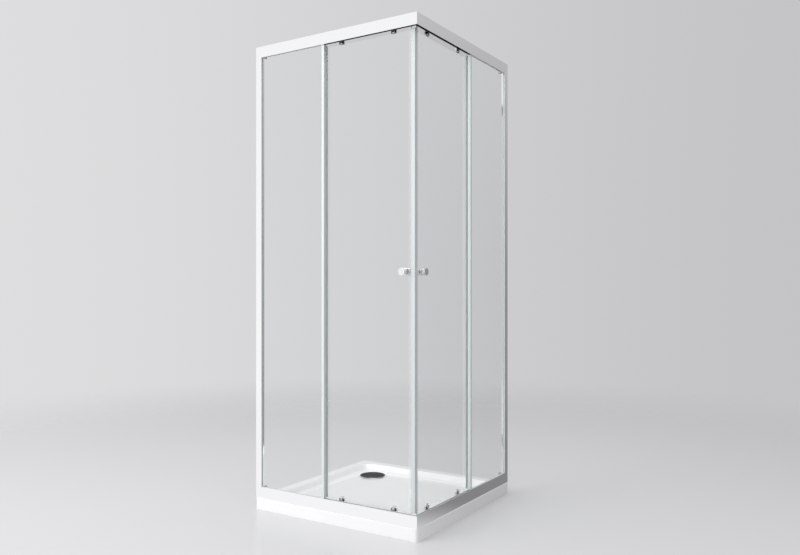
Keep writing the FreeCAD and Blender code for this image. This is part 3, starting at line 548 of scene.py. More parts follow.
class Workpiece:
    """A mesh in the making."""

    def __init__(self) -> None:
        """Start empty."""
        self.bm = bmesh.new()

    @classmethod
    def copied(cls, node: str) -> "Workpiece":
        """A copy of a CAD solid.

        Args:
            node: Its node.

        Returns:
            The copy, with the triangles' doubled corners merged.
        """
        work = cls()
        work.bm.from_mesh(frame["nodes"][node].data)
        bmesh.ops.remove_doubles(work.bm, verts=work.bm.verts, dist=MERGE)
        return work

    def loop(self, points: Sequence[Point]) -> list[Edge]:
        """A closed loop of edges through some points."""
        corners = [self.bm.verts.new(point) for point in points]
        return [self.bm.edges.new(pair) for pair in zip(corners, corners[1:] + corners[:1])]

    def ring(self, radius: float, place: Matrix, segments: int = 32) -> list[Edge]:
        """A circle of edges round a frame's Z axis."""
        made = bmesh.ops.create_circle(self.bm, segments=segments, radius=radius, matrix=place)
        return list(dict.fromkeys(edge for corner in made["verts"] for edge in corner.link_edges))

    def collar(self, radius: float, width: float, place: Matrix) -> tuple[list[Edge], list[bmesh.types.BMFace]]:
        """A flat ring of faces round a hole, which keeps the hole's bevel off the long triangles round it.

        Args:
            radius: The hole's radius.
            width: The ring's width.
            place: The frame whose Z axis is the hole's.

        Returns:
            The ring's outer edges and its faces.
        """
        outer = self.ring(radius + width, place)
        bridged = bmesh.ops.bridge_loops(self.bm, edges=outer + self.ring(radius, place))
        return outer, bridged["faces"]

    def prism(self, loops: Sequence[Sequence[Edge]], path: Point,
              collars: Sequence[bmesh.types.BMFace] = ()) -> list[bmesh.types.BMVert]:
        """A solid on one outline, less any outlines inside it.

        Args:
            loops: The outline and its holes, in one plane.
            path: The way from that plane to the other end.
            collars: Faces that already lie inside the holes and belong to the solid.

        Returns:
            The corners at the other end.
        """
        edges = [edge for loop in loops for edge in loop]
        filled = bmesh.ops.triangle_fill(self.bm, use_beauty=True, use_dissolve=False, edges=edges)
        faces = [item for item in filled["geom"] if isinstance(item, bmesh.types.BMFace)] + list(collars)
        grown = bmesh.ops.extrude_face_region(self.bm, geom=faces, use_keep_orig=True)
        corners = [item for item in grown["geom"] if isinstance(item, bmesh.types.BMVert)]
        bmesh.ops.translate(self.bm, verts=corners, vec=path)
        return corners

    def bar(self, sections: Sequence[Outline], spot: Callable[[float, float], Point],
            path: Point) -> list[bmesh.types.BMVert]:
        """A prism on a section and its hollows, whose points spot puts in their place."""
        return self.prism([self.loop([spot(*point) for point in section]) for section in sections], path)

    def spin(self, geometry: Sequence, steps: int, turns: int = 1, rise: float = 0.0, merge: bool = True) -> None:
        """Spin some geometry about the Z axis.

        Args:
            geometry: The corners and edges.
            steps: The steps over all turns.
            turns: The full turns.
            rise: The rise at each step, for a helix.
            merge: Whether the end is merged with the start.
        """
        bmesh.ops.spin(self.bm, geom=geometry, axis=(0, 0, 1), cent=(0, 0, 0), dvec=(0, 0, rise),
                       angle=2 * math.pi * turns, steps=steps, use_merge=merge, use_normal_flip=False,
                       use_duplicate=False, space=Matrix.Identity(4))

    def turn(self, outline: Outline, place: Matrix, steps: int = 64, closed: bool = False) -> None:
        """Spin an outline about a frame's Z axis.

        Args:
            outline: Its points as (radius, distance along the axis).
            place: The frame.
            steps: The steps round the axis.
            closed: Whether the last point joins the first.
        """
        corners = [self.bm.verts.new((radius, 0.0, along)) for radius, along in outline]
        pairs = list(zip(corners, corners[1:]))
        if closed:
            pairs.append((corners[-1], corners[0]))
        edges = [self.bm.edges.new(pair) for pair in pairs]
        before = set(self.bm.verts) - set(corners)
        self.spin(corners + edges, steps)
        made = [corner for corner in self.bm.verts if corner not in before]
        bmesh.ops.transform(self.bm, matrix=place, verts=made, space=Matrix.Identity(4))

    def tidy(self) -> None:
        """Merge what coincides and point the faces outwards."""
        bmesh.ops.remove_doubles(self.bm, verts=self.bm.verts, dist=MERGE)
        bmesh.ops.recalc_face_normals(self.bm, faces=self.bm.faces)

    def ease(self, width: float, segments: int = 2, wanted: EdgeTest = lambda edge: True) -> None:
        """Round sharp convex edges, but none inside a filled end.

        Args:
            width: The rounding's width.
            segments: Its steps.
            wanted: Picks the edges.
        """
        edges = [edge for edge in self.bm.edges
                 if edge.is_manifold and any(len(face.verts) > 3 for face in edge.link_faces)
                 and edge.calc_face_angle_signed(0.0) > ROUNDED_ABOVE and wanted(edge)]
        bmesh.ops.bevel(self.bm, geom=edges, offset=width, offset_type="OFFSET", segments=segments, profile=0.5,
                        affect="EDGES", clamp_overlap=True, material=-1, loop_slide=True)

    def settle(self, width: float, segments: int = 2, wanted: EdgeTest = lambda edge: True) -> None:
        """Tidy the mesh and ease its edges."""
        self.tidy()
        self.ease(width, segments, wanted)

    def cut_by(self, tool: "Workpiece") -> None:
        """Take a tool's shape out of the workpiece.

        Args:
            tool: The closed mesh that cuts, which is used up.
        """
        block, cutter = (placed("cut", work.spent("cut")) for work in (self, tool))
        cut = block.modifiers.new("Cut", "BOOLEAN")
        cut.operation = "DIFFERENCE"
        cut.solver = "EXACT"
        cut.object = cutter
        done = bpy.data.meshes.new_from_object(block.evaluated_get(bpy.context.evaluated_depsgraph_get()))
        self.bm = bmesh.new()
        self.bm.from_mesh(done)
        for mesh in (block.data, cutter.data, done):
            bpy.data.meshes.remove(mesh)

    def dress(self, index: int, wanted: Callable[[Vector], bool]) -> None:
        """Give some faces another finish.

        Args:
            index: The finish's place among the piece's finishes.
            wanted: Picks the faces by their middles.
        """
        for face in self.bm.faces:
            if wanted(face.calc_center_median()):
                face.material_index = index

    def spent(self, name: str) -> bpy.types.Mesh:
        """Hand the mesh over, which uses the workpiece up.

        Args:
            name: The mesh's name.

        Returns:
            The mesh.
        """
        mesh = bpy.data.meshes.new(name)
        self.bm.to_mesh(mesh)
        self.bm.free()
        return mesh

    def finish(self, node: str, shown: str, finishes: Sequence[Finish], side: Side | None = None,
               body: str = STANDING, flat: bool = False, crease: EdgeTest = lambda edge: False,
               stretch: tuple[str, Vector, Vector] | None = None) -> None:
        """Turn the mesh into a piece of the object.

        Args:
            node: The CAD node that it stands for.
            shown: The piece's name, in which {} stands for the node's.
            finishes: Its finishes, in the order of the faces' material indices.
            side: The face whose frame the mesh was built in, or None for the object's frame. A face's nodes
                and moving bodies are given without its name.
            body: The CAD body that carries it.
            flat: Whether its faces are shaded flat.
            crease: Picks shallow edges that stay sharp.
            stretch: For a face's spring, its other body and two ends, which are not used; the piece then rides on
                no body.
        """
        if side is not None:
            node = side.named(node)
            body = body if body == STANDING else side.named(body)
            self.bm.transform(side.matrix)
            if side is Side.RIGHT:
                bmesh.ops.reverse_faces(self.bm, faces=self.bm.faces)
        name = shown.format(node)
        for face in self.bm.faces:
            face.smooth = not flat
        for edge in self.bm.edges:
            edge.smooth = edge.is_manifold and edge.calc_face_angle(0.0) < SMOOTH_BELOW and not crease(edge)
        mesh = self.spent(name)
        for item in finishes:
            mesh.materials.append(item.material())
        piece = placed(name, mesh)
        if not flat:
            weigh = piece.modifiers.new("FlatFaces", "WEIGHTED_NORMAL")
            weigh.keep_sharp = True
            weigh.weight = 100
        if stretch is None:
            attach(piece, body)
        else:
            other, start, end = stretch
            side.named(other)
            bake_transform(piece)
        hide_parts(node)
        log.info("%s rides on %s with %d faces", name, body, len(mesh.polygons))


def runs_along(*axes: int, share: float = 0.98) -> EdgeTest:
    """A test for edges that run along an axis.

    Args:
        *axes: The numbers of the axes, any one of which will do.
        share: The least share of an edge's length along it.

    Returns:
        The test.
    """
    def test(edge: Edge) -> bool:
        """Whether an edge runs so."""
        way = edge.verts[1].co - edge.verts[0].co
        return any(abs(way[axis]) > share * way.length for axis in axes)
    return test


# Sub-assemblies


@dataclass
class Tray:
    """The acrylic tray, as a smooth copy of its CAD solid."""

    shallow: float = math.radians(0.25)
    broad: float = 0.0004

    def build(self) -> None:
        """Merge the CAD solid's triangles, so that its rounded edges shade smoothly."""
        Workpiece.copied("shower_tray").finish("shower_tray", "tray", [ACRYLIC], crease=self._is_crease)

    def _is_crease(self, edge: Edge) -> bool:
        """Whether an edge is a shallow crease between the floor's planes."""
        return (edge.calc_face_angle(0.0) > self.shallow
                and min(face.calc_area() for face in edge.link_faces) > self.broad)


@dataclass
class Waste:
    """The waste's flange and cover. Radii and heights are in metres."""

    setback: float = 0.166
    floor: float = 0.026
    seat: float = 0.024
    bore: float = 0.04
    tail: float = 0.043
    tail_end: float = 0.009
    spigot: float = 0.0415
    spigot_end: float = 0.003
    flange: float = 0.056
    edge: float = 0.0004
    cover: float = 0.061
    cover_foot: float = 0.029
    cover_thickness: float = 0.0035
    cover_edge: float = 0.0003
    stem: float = 0.01
    stem_foot: float = 0.0105
    leg_wall: float = 0.0025
    leg_gap: float = 0.00015
    leg_hook: float = 0.008
    legs: int = 3
    steps: int = 96
    rim_share: float = 0.965
    cover_shares: Outline = ((0.94, 0.0), (0.985, 0.1), (1.0, 0.35), (0.985, 0.6), (0.93, 0.76), (0.8, 0.9),
                             (0.5, 0.97), (0.0, 1.0))

    @property
    def place(self) -> Matrix:
        """The waste's own axis."""
        return Matrix.Translation((self.setback - PLAN.half, PLAN.half - self.setback, 0.0))

    def build(self) -> None:
        """The visible pieces of the waste."""
        self._flange()
        self._cover()

    def _flange(self) -> None:
        """The flange that clamps the tray, with its tail and spigot."""
        work = Workpiece()
        work.turn([
            (self.bore, self.spigot_end), (self.spigot, self.spigot_end), (self.spigot, self.tail_end),
            (self.tail, self.tail_end), (self.tail, self.seat), (self.flange, self.seat),
            (self.flange, self.floor), (self.bore, self.floor),
        ], self.place, self.steps, closed=True)
        work.settle(self.edge)
        work.finish("waste_flange", "flange", [FITTING_CHROME])

    def _cover(self) -> None:
        """The loose cover on its three legs."""
        work = Workpiece()
        foot = self.stem_foot
        rim = [(radius, self.cover_foot + rise)
               for radius, rise in scaled(self.cover_shares, self.cover, self.cover_thickness)]
        work.turn([(0.0, foot), (self.stem, foot), (self.stem, self.cover_foot)] + rim, self.place, self.steps)
        inner = self.stem / 2
        outer = self.bore - self.leg_gap
        hook = self.bore + self.leg_hook
        outline = [(inner, foot), (outer, foot), (outer, self.floor), (hook, self.floor),
                   (hook, self.cover_foot), (inner, self.cover_foot)]
        for leg in range(self.legs):
            turn = self.place @ Matrix.Rotation(2 * math.pi * leg / self.legs, 4, "Z")
            work.bar([outline], lambda radius, height: turn @ Vector((radius, -self.leg_wall / 2, height)),
                     turn.to_3x3() @ Vector((0.0, self.leg_wall, 0.0)))
        work.settle(self.cover_edge)
        middle = self.place.translation
        # The top inside the rim gets the painted dark reflection; the rim keeps the fitting's chrome.
        work.dress(1, lambda centre: (centre.z > self.cover_foot + self.cover_thickness / 2
                                      and (centre - middle).xy.length < self.cover * self.rim_share))
        work.finish("waste_cover", "cover", [FITTING_CHROME, COVER_PAINTED_REFLECTION])


@dataclass
class Profiles:
    """The rails and jambs of one face."""

    side: Side
    lip: float = 0.012
    shelf: float = 0.018
    rib: float = 0.003
    jamb_face: float = 0.03
    edge: float = 0.0004
    seam: float = 0.00025
    skin: float = 0.0006

    def build(self) -> None:
        """Both rails and the jamb."""
        for rail in Rail:
            self._rail(rail)
        self._jamb()

    def _rail(self, rail: Rail) -> None:
        """A rail: glass pocket, hollow chamber, roller track and lip, mitred at the entry corner.

        Args:
            rail: Which of the two.
        """
        wall = PLAN.wall
        height = PLAN.rail_height
        depth = PLAN.rail_depth
        track = self.shelf + wall
        middle = PLAN.wheel_middle
        section = [
            (0.0, 0.0), (0.0, height), (depth, height), (depth, height - self.lip),
            (depth - wall, height - self.lip), (depth - wall, height - wall), (PLAN.web_inner, height - wall),
            (PLAN.web_inner, track), (middle - wall / 2, track), (middle - wall / 2, track + self.rib),
            (middle + wall / 2, track + self.rib), (middle + wall / 2, self.shelf), (PLAN.web_inner, self.shelf),
            (PLAN.web_inner, 0.0), (PLAN.web_outer, 0.0), (PLAN.web_outer, PLAN.rail_pocket),
            (wall, PLAN.rail_pocket), (wall, 0.0),
        ]
        chamber = [
            (wall, PLAN.rail_pocket + wall), (PLAN.web_outer, PLAN.rail_pocket + wall),
            (PLAN.web_outer, height - wall), (wall, height - wall),
        ]
        work = Workpiece()
        far = work.bar((section, chamber), lambda inward, level: (-PLAN.rail_end, inward, rail.height(level)),
                       (PLAN.rail_end, 0.0, 0.0))
        for corner in far:
            corner.co.x = -corner.co.y
        work.settle(self.edge, wanted=runs_along(0))
        work.ease(self.seam, 1, lambda edge: all(abs(end.co.x + end.co.y) < MERGE for end in edge.verts))
        closed = rail.height(height)
        work.dress(1, lambda centre: (self.skin < centre.y < depth - self.skin
                                      and abs(centre.z - closed) > self.skin))
        # The top rail's inside is painted shade: the same satin as the bottom rail's, painted dark.
        inside = SATIN_PAINTED_SHADE if rail is Rail.TOP else SATIN
        work.finish(f"{rail.value}_rail", "{}_profile", [self.side.rail_finish, inside], self.side)

    def _jamb(self) -> None:
        """The upright profile at the wall."""
        wall = PLAN.wall
        pocket = PLAN.jamb_pocket
        back = pocket + wall
        depth = PLAN.jamb_depth
        face = self.jamb_face
        section = [
            (0.0, 0.0), (0.0, face), (wall, face), (wall, back), (depth - wall, back), (depth - wall, face),
            (depth, face), (depth, 0.0), (PLAN.web_outer, 0.0), (PLAN.web_outer, pocket), (wall, pocket),
            (wall, 0.0),
        ]
        chamber = [(PLAN.web_inner, wall), (PLAN.web_inner, pocket), (depth - wall, pocket), (depth - wall, wall)]
        work = Workpiece()
        work.bar((section, chamber), lambda inward, out: (-PLAN.rail_end - out, inward, PLAN.tray_top),
                 (0.0, 0.0, PLAN.frame_top - PLAN.tray_top))
        work.settle(self.edge, wanted=runs_along(2))
        work.dress(1, lambda centre: (self.skin < centre.y < depth - self.skin
                                      and centre.x < -PLAN.rail_end - self.skin))
        work.finish("jamb", "{}_profile", [UPRIGHT, SATIN], self.side)


@dataclass
class Pane:
    """A glass pane with ground edges and drilled holes."""

    name: str
    side: Side
    body: str
    depth: float
    low: Pair
    high: Pair
    holes: Sequence[tuple[float, float, float]] = ()
    arris: float = 0.0005
    hole_collar: float = 0.003
    facing: float = 0.9

    def build(self) -> None:
        """The pane, with its rim in the colour of a glass edge."""
        work = Workpiece()
        (left, foot), (right, head) = self.low, self.high
        loops = [work.loop([(x, self.depth, z) for x, z in
                            ((left, foot), (right, foot), (right, head), (left, head))])]
        collars = []
        for along, height, radius in self.holes:
            edges, faces = work.collar(radius, self.hole_collar, across(along, self.depth, height))
            loops.append(edges)
            collars.extend(faces)
        work.prism(loops, (0.0, PLAN.glass, 0.0), collars)
        work.settle(self.arris, 1)
        for face in work.bm.faces:
            if abs(face.normal.y) < self.facing:
                face.material_index = 1
        work.finish(self.name, "{}_pane", [GLASS, GLASS_EDGE], self.side, self.body, flat=True)


@dataclass
class Roller:
    """A grooved nylon wheel with the steel race that it turns on."""

    width: float = 0.0065
    radius: float = 0.0095
    root: float = 0.0075
    groove: float = 0.0026
    bore: float = 0.00255
    recess_radius: float = 0.0042
    recess: float = 0.0012
    race: float = 0.0036
    edge: float = 0.00025
    race_edge: float = 0.0001
    race_steps: int = 48

    def build(self, side: Side, label: str, rail: Rail, along: float) -> None:
        """One wheel.

        Args:
            side: The face that it runs on.
            label: Its node and body on that face.
            rail: The rail that it runs in.
            along: Its distance from the entry corner.
        """
        place = across(along, PLAN.wheel_middle, rail.height(PLAN.axle_level))
        half_width = self.width / 2
        half_groove = self.groove / 2
        bottom = -half_width + self.recess
        tyre = Workpiece()
        tyre.turn([
            (self.race, bottom), (self.recess_radius, bottom), (self.recess_radius, -half_width),
            (self.radius, -half_width), (self.radius, -half_groove), (self.root, -half_groove),
            (self.root, half_groove), (self.radius, half_groove), (self.radius, half_width),
            (self.race, half_width),
        ], place, closed=True)
        tyre.settle(self.edge)
        race = Workpiece()
        race.turn([(self.bore, bottom), (self.race, bottom), (self.race, half_width), (self.bore, half_width)],
                  place, self.race_steps, closed=True)
        race.settle(self.race_edge)
        tyre.finish(label, "{}_tyre", [NYLON], side, label)
        race.finish(label, "{}_race", [STEEL], side, label)


@dataclass
class Door:
    """One sliding door: pane, knobs, washers, roller caps and wheels."""

    side: Side
    cover: float = 0.02
    hole: float = 0.0035
    knob_hole: float = 0.005
    knob_radius: float = 0.0145
    knob_length: float = 0.0225
    knob_steps: int = 96
    knob_edge: float = 0.00028
    knob_shares: Outline = (
        (0.9, 0.0), (0.94, 0.03), (0.94, 0.13), (0.9, 0.16), (0.6, 0.2), (0.6, 0.3), (0.9, 0.36), (0.94, 0.4),
        (0.94, 0.5), (0.9, 0.54), (0.6, 0.6), (0.6, 0.7), (0.96, 0.8), (1.0, 0.84), (1.0, 0.972),
        (0.9, 0.985), (0.72, 0.993), (0.4, 0.998),
    )
    washer: float = 0.001
    washer_radius: float = 0.009
    washer_edge: float = 0.0002
    stud: float = 0.003
    stud_depth: float = 0.008
    stud_end_gap: float = 0.001
    thread_gap: float = 0.00005
    cap_radius: float = 0.0065
    cap_thickness: float = 0.002
    cap_shares: Outline = ((0.8, 1.0), (0.94, 0.86), (1.0, 0.6))
    cap_edge: float = 0.00015
    screw: float = 0.002
    screw_reach: float = 0.0114
    spring_radius: float = 0.0012
    spring_wire: float = 0.00025
    spring_wire_sides: int = 8
    spring_length: float = 0.012
    spring_turns: int = 9
    spring_steps: int = 16
    spring_depth: float = 0.0301
    spring_foot: float = 0.016

    def build(self) -> None:
        """All of the door's own pieces."""
        holes = [(along, rail.height(-PLAN.screw_drop), self.hole) for along in PLAN.rollers for rail in Rail]
        holes.append((PLAN.knob_setback, PLAN.knob_height, self.knob_hole))
        Pane("door_glass", self.side, "door", PLAN.door_outer,
             (-PLAN.door_rear, Rail.BOTTOM.height(self.cover)),
             (-PLAN.door_front, Rail.TOP.height(self.cover)), holes).build()
        self._knobs()
        self._washers()
        self._caps()
        for where, along in zip(("front", "rear"), PLAN.rollers):
            for rail in Rail:
                Roller().build(self.side, f"{where}_{rail.value}_wheel", rail, along)
            self._spring(where, along)

    def _spring(self, where: str, along: float) -> None:
        """The coil spring between a bottom carriage and its slider, which presses it together.

        Args:
            where: The carriage's place on the door, front or rear.
            along: Its distance from the entry corner.
        """
        steps = self.spring_turns * self.spring_steps
        rise = self.spring_length - self.spring_wire * 2
        foot = Rail.BOTTOM.height(self.spring_foot)
        work = Workpiece()
        wire = work.ring(self.spring_wire, Matrix.Translation((self.spring_radius, 0.0, self.spring_wire))
                         @ Matrix.Rotation(math.pi / 2, 4, "X"), self.spring_wire_sides)
        corners = list(dict.fromkeys(corner for edge in wire for corner in edge.verts))
        work.spin(corners + wire, steps, self.spring_turns, rise / steps, merge=False)
        bmesh.ops.holes_fill(work.bm, edges=work.bm.edges, sides=self.spring_wire_sides)
        work.bm.transform(Matrix.Translation((-along, self.spring_depth, foot)))
        work.tidy()
        ends = [Vector((-along, self.spring_depth, height)) for height in (foot, foot + self.spring_length)]
        work.finish(f"{where}_spring", "{}_coil", [STEEL], self.side, "door", stretch=(f"{where}_slider", *ends))

    def _seat(self, depth: float) -> Matrix:
        """The knobs' own axis, from a depth."""
        return across(PLAN.knob_setback, depth, PLAN.knob_height)

    def _knobs(self) -> None:
        """The outer knob with its stud and the inner knob with its blind thread."""
        stud = self.washer * 2 + PLAN.glass + self.stud_depth
        blind_end = self.stud_depth + self.stud_end_gap
        for label, seat, core, end, way in (
            ("outer_knob", PLAN.door_outer - self.washer, self.stud, stud, -1),
            ("inner_knob", PLAN.door_inner + self.washer, self.stud + self.thread_gap, blind_end, 1),
        ):
            work = Workpiece()
            outline = scaled(self.knob_shares, self.knob_radius, way * self.knob_length)
            work.turn([(0.0, end), (core, end), (core, 0.0), *outline, (0.0, way * self.knob_length)],
                      self._seat(seat), self.knob_steps)
            work.settle(self.knob_edge)
            work.finish(label, "{}_turned", [KNOB_CHROME], self.side, "door")

    def _washers(self) -> None:
        """The clear washers on both faces of the glass."""
        work = Workpiece()
        bore = self.stud + self.thread_gap
        for depth in (PLAN.door_outer - self.washer, PLAN.door_inner):
            work.turn([(bore, 0.0), (self.washer_radius, 0.0), (self.washer_radius, self.washer),
                       (bore, self.washer)], self._seat(depth), closed=True)
        work.settle(self.washer_edge)
        work.finish("knob_washers", "{}_rings", [VINYL], self.side, "door")

    def _caps(self) -> None:
        """The round caps on the outside of the glass, with their screws."""
        work = Workpiece()
        crown = scaled(self.cap_shares, self.cap_radius, -self.cap_thickness)
        for along in PLAN.rollers:
            for rail in Rail:
                work.turn([(0.0, -self.cap_thickness), *crown, (self.cap_radius, 0.0), (self.screw, 0.0),
                           (self.screw, self.screw_reach), (0.0, self.screw_reach)],
                          across(along, PLAN.door_outer, rail.height(-PLAN.screw_drop)))
        work.settle(self.cap_edge)
        work.finish("roller_screws", "{}_caps", [FITTING_CHROME], self.side, "door")


@dataclass
class Seals:
    """The extruded vinyl on the free edges of one face's panes."""

    side: Side
    wall: float = 0.001
    base: float = 0.002
    grip: float = 0.01
    fin: float = 0.0012
    fixed_reach: float = 0.0072
    door_reach: float = 0.0075
    end_gap: float = 0.002
    fit_gap: float = 0.00015
    magnet_gap: float = 0.0003
    chamber_wall: float = 0.0012
    gasket_base: float = 0.001
    joint_gap: float = 0.0002
    edge: float = 0.00025

    def build(self) -> None:
        """The fixed pane's strip and gaskets, the door's trailing strip and its magnetic strip."""
        outer, inner = PLAN.fixed_outer, PLAN.fixed_outer + PLAN.glass
        self._strip("fixed_edge_seal", STANDING, [VINYL], self.fit_gap, [self._clip(
            PLAN.fixed_edge, -1, outer, inner, inner + self.wall + self.fixed_reach)])
        outer, inner = PLAN.door_outer, PLAN.door_inner
        self._strip("door_rear_seal", "door", [VINYL], self.end_gap, [self._clip(
            PLAN.door_rear, 1, inner, outer, outer - self.wall - self.door_reach)])
        self._magnetic()
        self._gaskets()

    def _clip(self, edge: float, way: int, plain: float, finned: float, tip: float) -> Outline:
        """A U that grips a pane's edge, with a fin across the gap to the other pane.

        Args:
            edge: The pane's edge.
            way: 1 where the strip's base lies beyond the edge, away from the entry corner, or -1.
            plain: Depth of the pane's face without the fin.
            finned: Depth of the face that the fin stands on.
            tip: Depth of the fin's tip.

        Returns:
            The section as (distance from the entry corner, depth).
        """
        out = math.copysign(self.wall, finned - plain)
        back = edge + way * self.base
        fin = back - way * self.fin
        grip = edge - way * self.grip
        return [(back, tip), (back, plain - out), (grip, plain - out), (grip, plain), (edge, plain),
                (edge, finned), (grip, finned), (grip, finned + out), (fin, finned + out), (fin, tip)]

    def _gaskets(self) -> None:
        """The U-shaped strips that hold the fixed pane in the pockets of both rails and the jamb."""
        ends = [-PLAN.rail_end + self.joint_gap, -PLAN.fixed_edge]
        levels = [rail.height(PLAN.rail_pocket) for rail in (Rail.BOTTOM, Rail.TOP)]
        channels = [(0, ends, [(depth, rail.height(level)) for depth, level in self._channel(PLAN.rail_pocket)])
                    for rail in Rail]
        channels.append((2, levels, [(-PLAN.rail_end - level, depth)
                                     for depth, level in self._channel(PLAN.jamb_pocket)]))
        work = Workpiece()
        for axis, (start, stop), outline in channels:
            way = [0.0, 0.0, 0.0]
            way[axis] = stop - start
            work.bar([outline], lambda *spot: (start, *spot) if axis == 0 else (*spot, start), way)
        work.settle(self.edge, wanted=runs_along(0, 2))
        work.finish("glazing_gasket", "{}_channels", [VINYL], self.side)

    def _channel(self, pocket: float) -> Outline:
        """The gasket's section.

        Args:
            pocket: The depth of the pocket that it lies in.

        Returns:
            Its points as (depth across the face, level in the pocket).
        """
        outer, inner = PLAN.fixed_outer, PLAN.fixed_outer + PLAN.glass
        bed = pocket - self.gasket_base
        return [(PLAN.wall, 0.0), (PLAN.wall, pocket), (PLAN.web_outer, pocket), (PLAN.web_outer, 0.0),
                (inner, 0.0), (inner, bed), (outer, bed), (outer, 0.0)]

    def _magnetic(self) -> None:
        """The magnetic strip with its chamber, cut at 45 degrees where the doors meet."""
        edge = PLAN.door_front
        near, far = PLAN.door_outer - self.wall, PLAN.door_inner + self.wall
        grip = edge + self.grip
        section = [(near + self.magnet_gap, near), (edge, near), (grip, near), (grip, PLAN.door_outer),
                   (edge, PLAN.door_outer), (edge, PLAN.door_inner), (grip, PLAN.door_inner), (grip, far),
                   (edge, far), (far + self.magnet_gap, far)]
        wall = self.chamber_wall
        slant = self.magnet_gap + wall * math.sqrt(2)
        chamber = [(near + wall + slant, near + wall), (edge - wall, near + wall), (edge - wall, far - wall),
                   (far - wall + slant, far - wall)]
        self._strip("door_magnet_seal", "door", [CLIP_VINYL, MAGNET_VINYL], self.end_gap, [section, chamber])

    def _strip(self, label: str, body: str, finishes: Sequence[Finish], gap: float,
               sections: Sequence[Outline]) -> None:
        """An upright strip between the rails.

        Args:
            label: Its node on this face.
            body: The CAD body that carries it.
            finishes: Its finishes; a second one covers what lies beyond the door's leading edge.
            gap: The gap to each rail.
            sections: Its outline and the outlines of its hollows.
        """
        foot = PLAN.bottom_edge + gap
        work = Workpiece()
        work.bar(sections, lambda out, depth: (-out, depth, foot), (0.0, 0.0, PLAN.top_edge - gap - foot))
        work.settle(self.edge, wanted=runs_along(2))
        if len(finishes) > 1:
            work.dress(1, lambda centre: centre.x > -PLAN.door_front - self.edge)
        work.finish(label, "{}_strip", finishes, self.side, body)


@dataclass
class FrameScrews:
    """The pan-head screws of the frame, with a cross recess in each head."""

    radius: float = 0.00185
    head: float = 0.0036
    head_height: float = 0.0015
    head_shares: Outline = ((1.0, 0.0), (1.0, 0.5), (0.88, 0.82), (0.6, 1.0), (0.0, 1.0))
    length: float = 0.007
    tip_shares: Outline = ((0.0, 1.0), (0.8, 1.0), (1.0, 0.92), (1.0, 0.0))
    steps: int = 32
    jamb_along: float = 0.788
    heights: tuple[float, ...] = (0.3, 1.0, 1.7)
    rail_alongs: tuple[float, ...] = (0.032, 0.734)
    rail_level: float = 0.034
    arm: float = 0.0019
    arm_width: float = 0.0007
    recess: float = 0.0009

    def places(self) -> list[Matrix]:
        """The screws' own frames.

        Returns:
            A frame for each screw, with the screw's head toward +Z.
        """
        spots = [(self.jamb_along, PLAN.jamb_depth, height) for height in self.heights]
        spots += [(along, PLAN.web_inner, rail.height(self.rail_level))
                  for along in self.rail_alongs for rail in Rail]
        return [side.matrix @ across(*spot) for side in Side for spot in spots]

    def build(self) -> None:
        """All the screws as one piece, cut by all the recesses at once."""
        work = Workpiece()
        tool = Workpiece()
        half = self.arm_width / 2
        corner = [(self.arm, -half), (self.arm, half), (half, half)]
        cross = []
        for _ in range(4):
            cross += corner
            corner = [(-y, x) for x, y in corner]
        outline = [*scaled(self.tip_shares, self.radius, -self.length),
                   *scaled(self.head_shares, self.head, self.head_height)]
        foot = self.head_height - self.recess
        for place in self.places():
            work.turn(outline, place, self.steps)
            tool.bar([cross], lambda x, y: place @ Vector((x, y, foot)),
                     place.to_3x3() @ Vector((0.0, 0.0, self.recess * 2)))
        work.tidy()
        tool.tidy()
        work.cut_by(tool)
        work.tidy()
        work.finish("frame_screws", "{}_pan_head", [STEEL])


@dataclass
class Face:
    """One glazed face: profiles, fixed pane, sliding door and seals."""

    side: Side
    glass_hold: float = 0.021
    wall_hold: float = 0.01

    def build(self) -> None:
        """Build the face's sub-assemblies."""
        Profiles(self.side).build()
        Pane("fixed_glass", self.side, STANDING, PLAN.fixed_outer,
             (-PLAN.rail_end - self.wall_hold, Rail.BOTTOM.height(self.glass_hold)),
             (-PLAN.fixed_edge, Rail.TOP.height(self.glass_hold))).build()
        Door(self.side).build()
        Seals(self.side).build()


@dataclass
class Softened:
    """The other CAD solids, each copied with its sharp edges eased and given its finish."""

    rules: Sequence[tuple[str, Finish, float]] = (
        ("waste_seals", BLACK_RUBBER, 0.0003), ("waste_nut", GREY_PLASTIC, 0.0006),
        ("door_stops", BLACK_RUBBER, 0.0008), ("corner_brackets", DIE_CAST, 0.0004),
        ("end_connectors", DIE_CAST, 0.0004), ("rail_end_caps", GREY_PLASTIC, 0.0003),
        ("wall_channel", SATIN, 0.0002), ("slider", PALE_PLASTIC, 0.0003),
        ("carriages", SATIN_FITTING, 0.0004), ("brackets", FITTING_CHROME, 0.0005),
    )
    flat: float = math.radians(0.2)

    def build(self) -> None:
        """Copy each node that is still shown."""
        carriers = {node: body for body, nodes in frame["record"]["behaviour"]["bodies"].items() for node in nodes}
        for name, node in frame["nodes"].items():
            if node.hide_render:
                continue
            finish, width = next((finish, width) for text, finish, width in self.rules if text in name)
            work = Workpiece.copied(name)
            bmesh.ops.dissolve_limit(work.bm, angle_limit=self.flat, use_dissolve_boundaries=False,
                                     verts=work.bm.verts, edges=work.bm.edges, delimit=set())
            work.ease(width)
            work.finish(name, "{}_eased", [finish], body=carriers[name])


# Studio


@dataclass(frozen=True)
class Softbox:
    """A large rectangular lamp."""

    name: str
    place: Point
    aim: Point
    size: Pair
    power: float
    mirrored: bool = False

    def build(self) -> None:
        """Hang the lamp and aim it."""
        data = bpy.data.lights.new(self.name, "AREA")
        data.shape = "RECTANGLE"
        data.size, data.size_y = self.size
        data.energy = self.power
        lamp = placed(self.name, data)
        lamp.location = self.place
        way = Vector(self.aim) - Vector(self.place)
        lamp.rotation_euler = way.to_track_quat("-Z", "Y").to_euler()
        lamp.visible_glossy = self.mirrored
        lamp.visible_transmission = self.mirrored


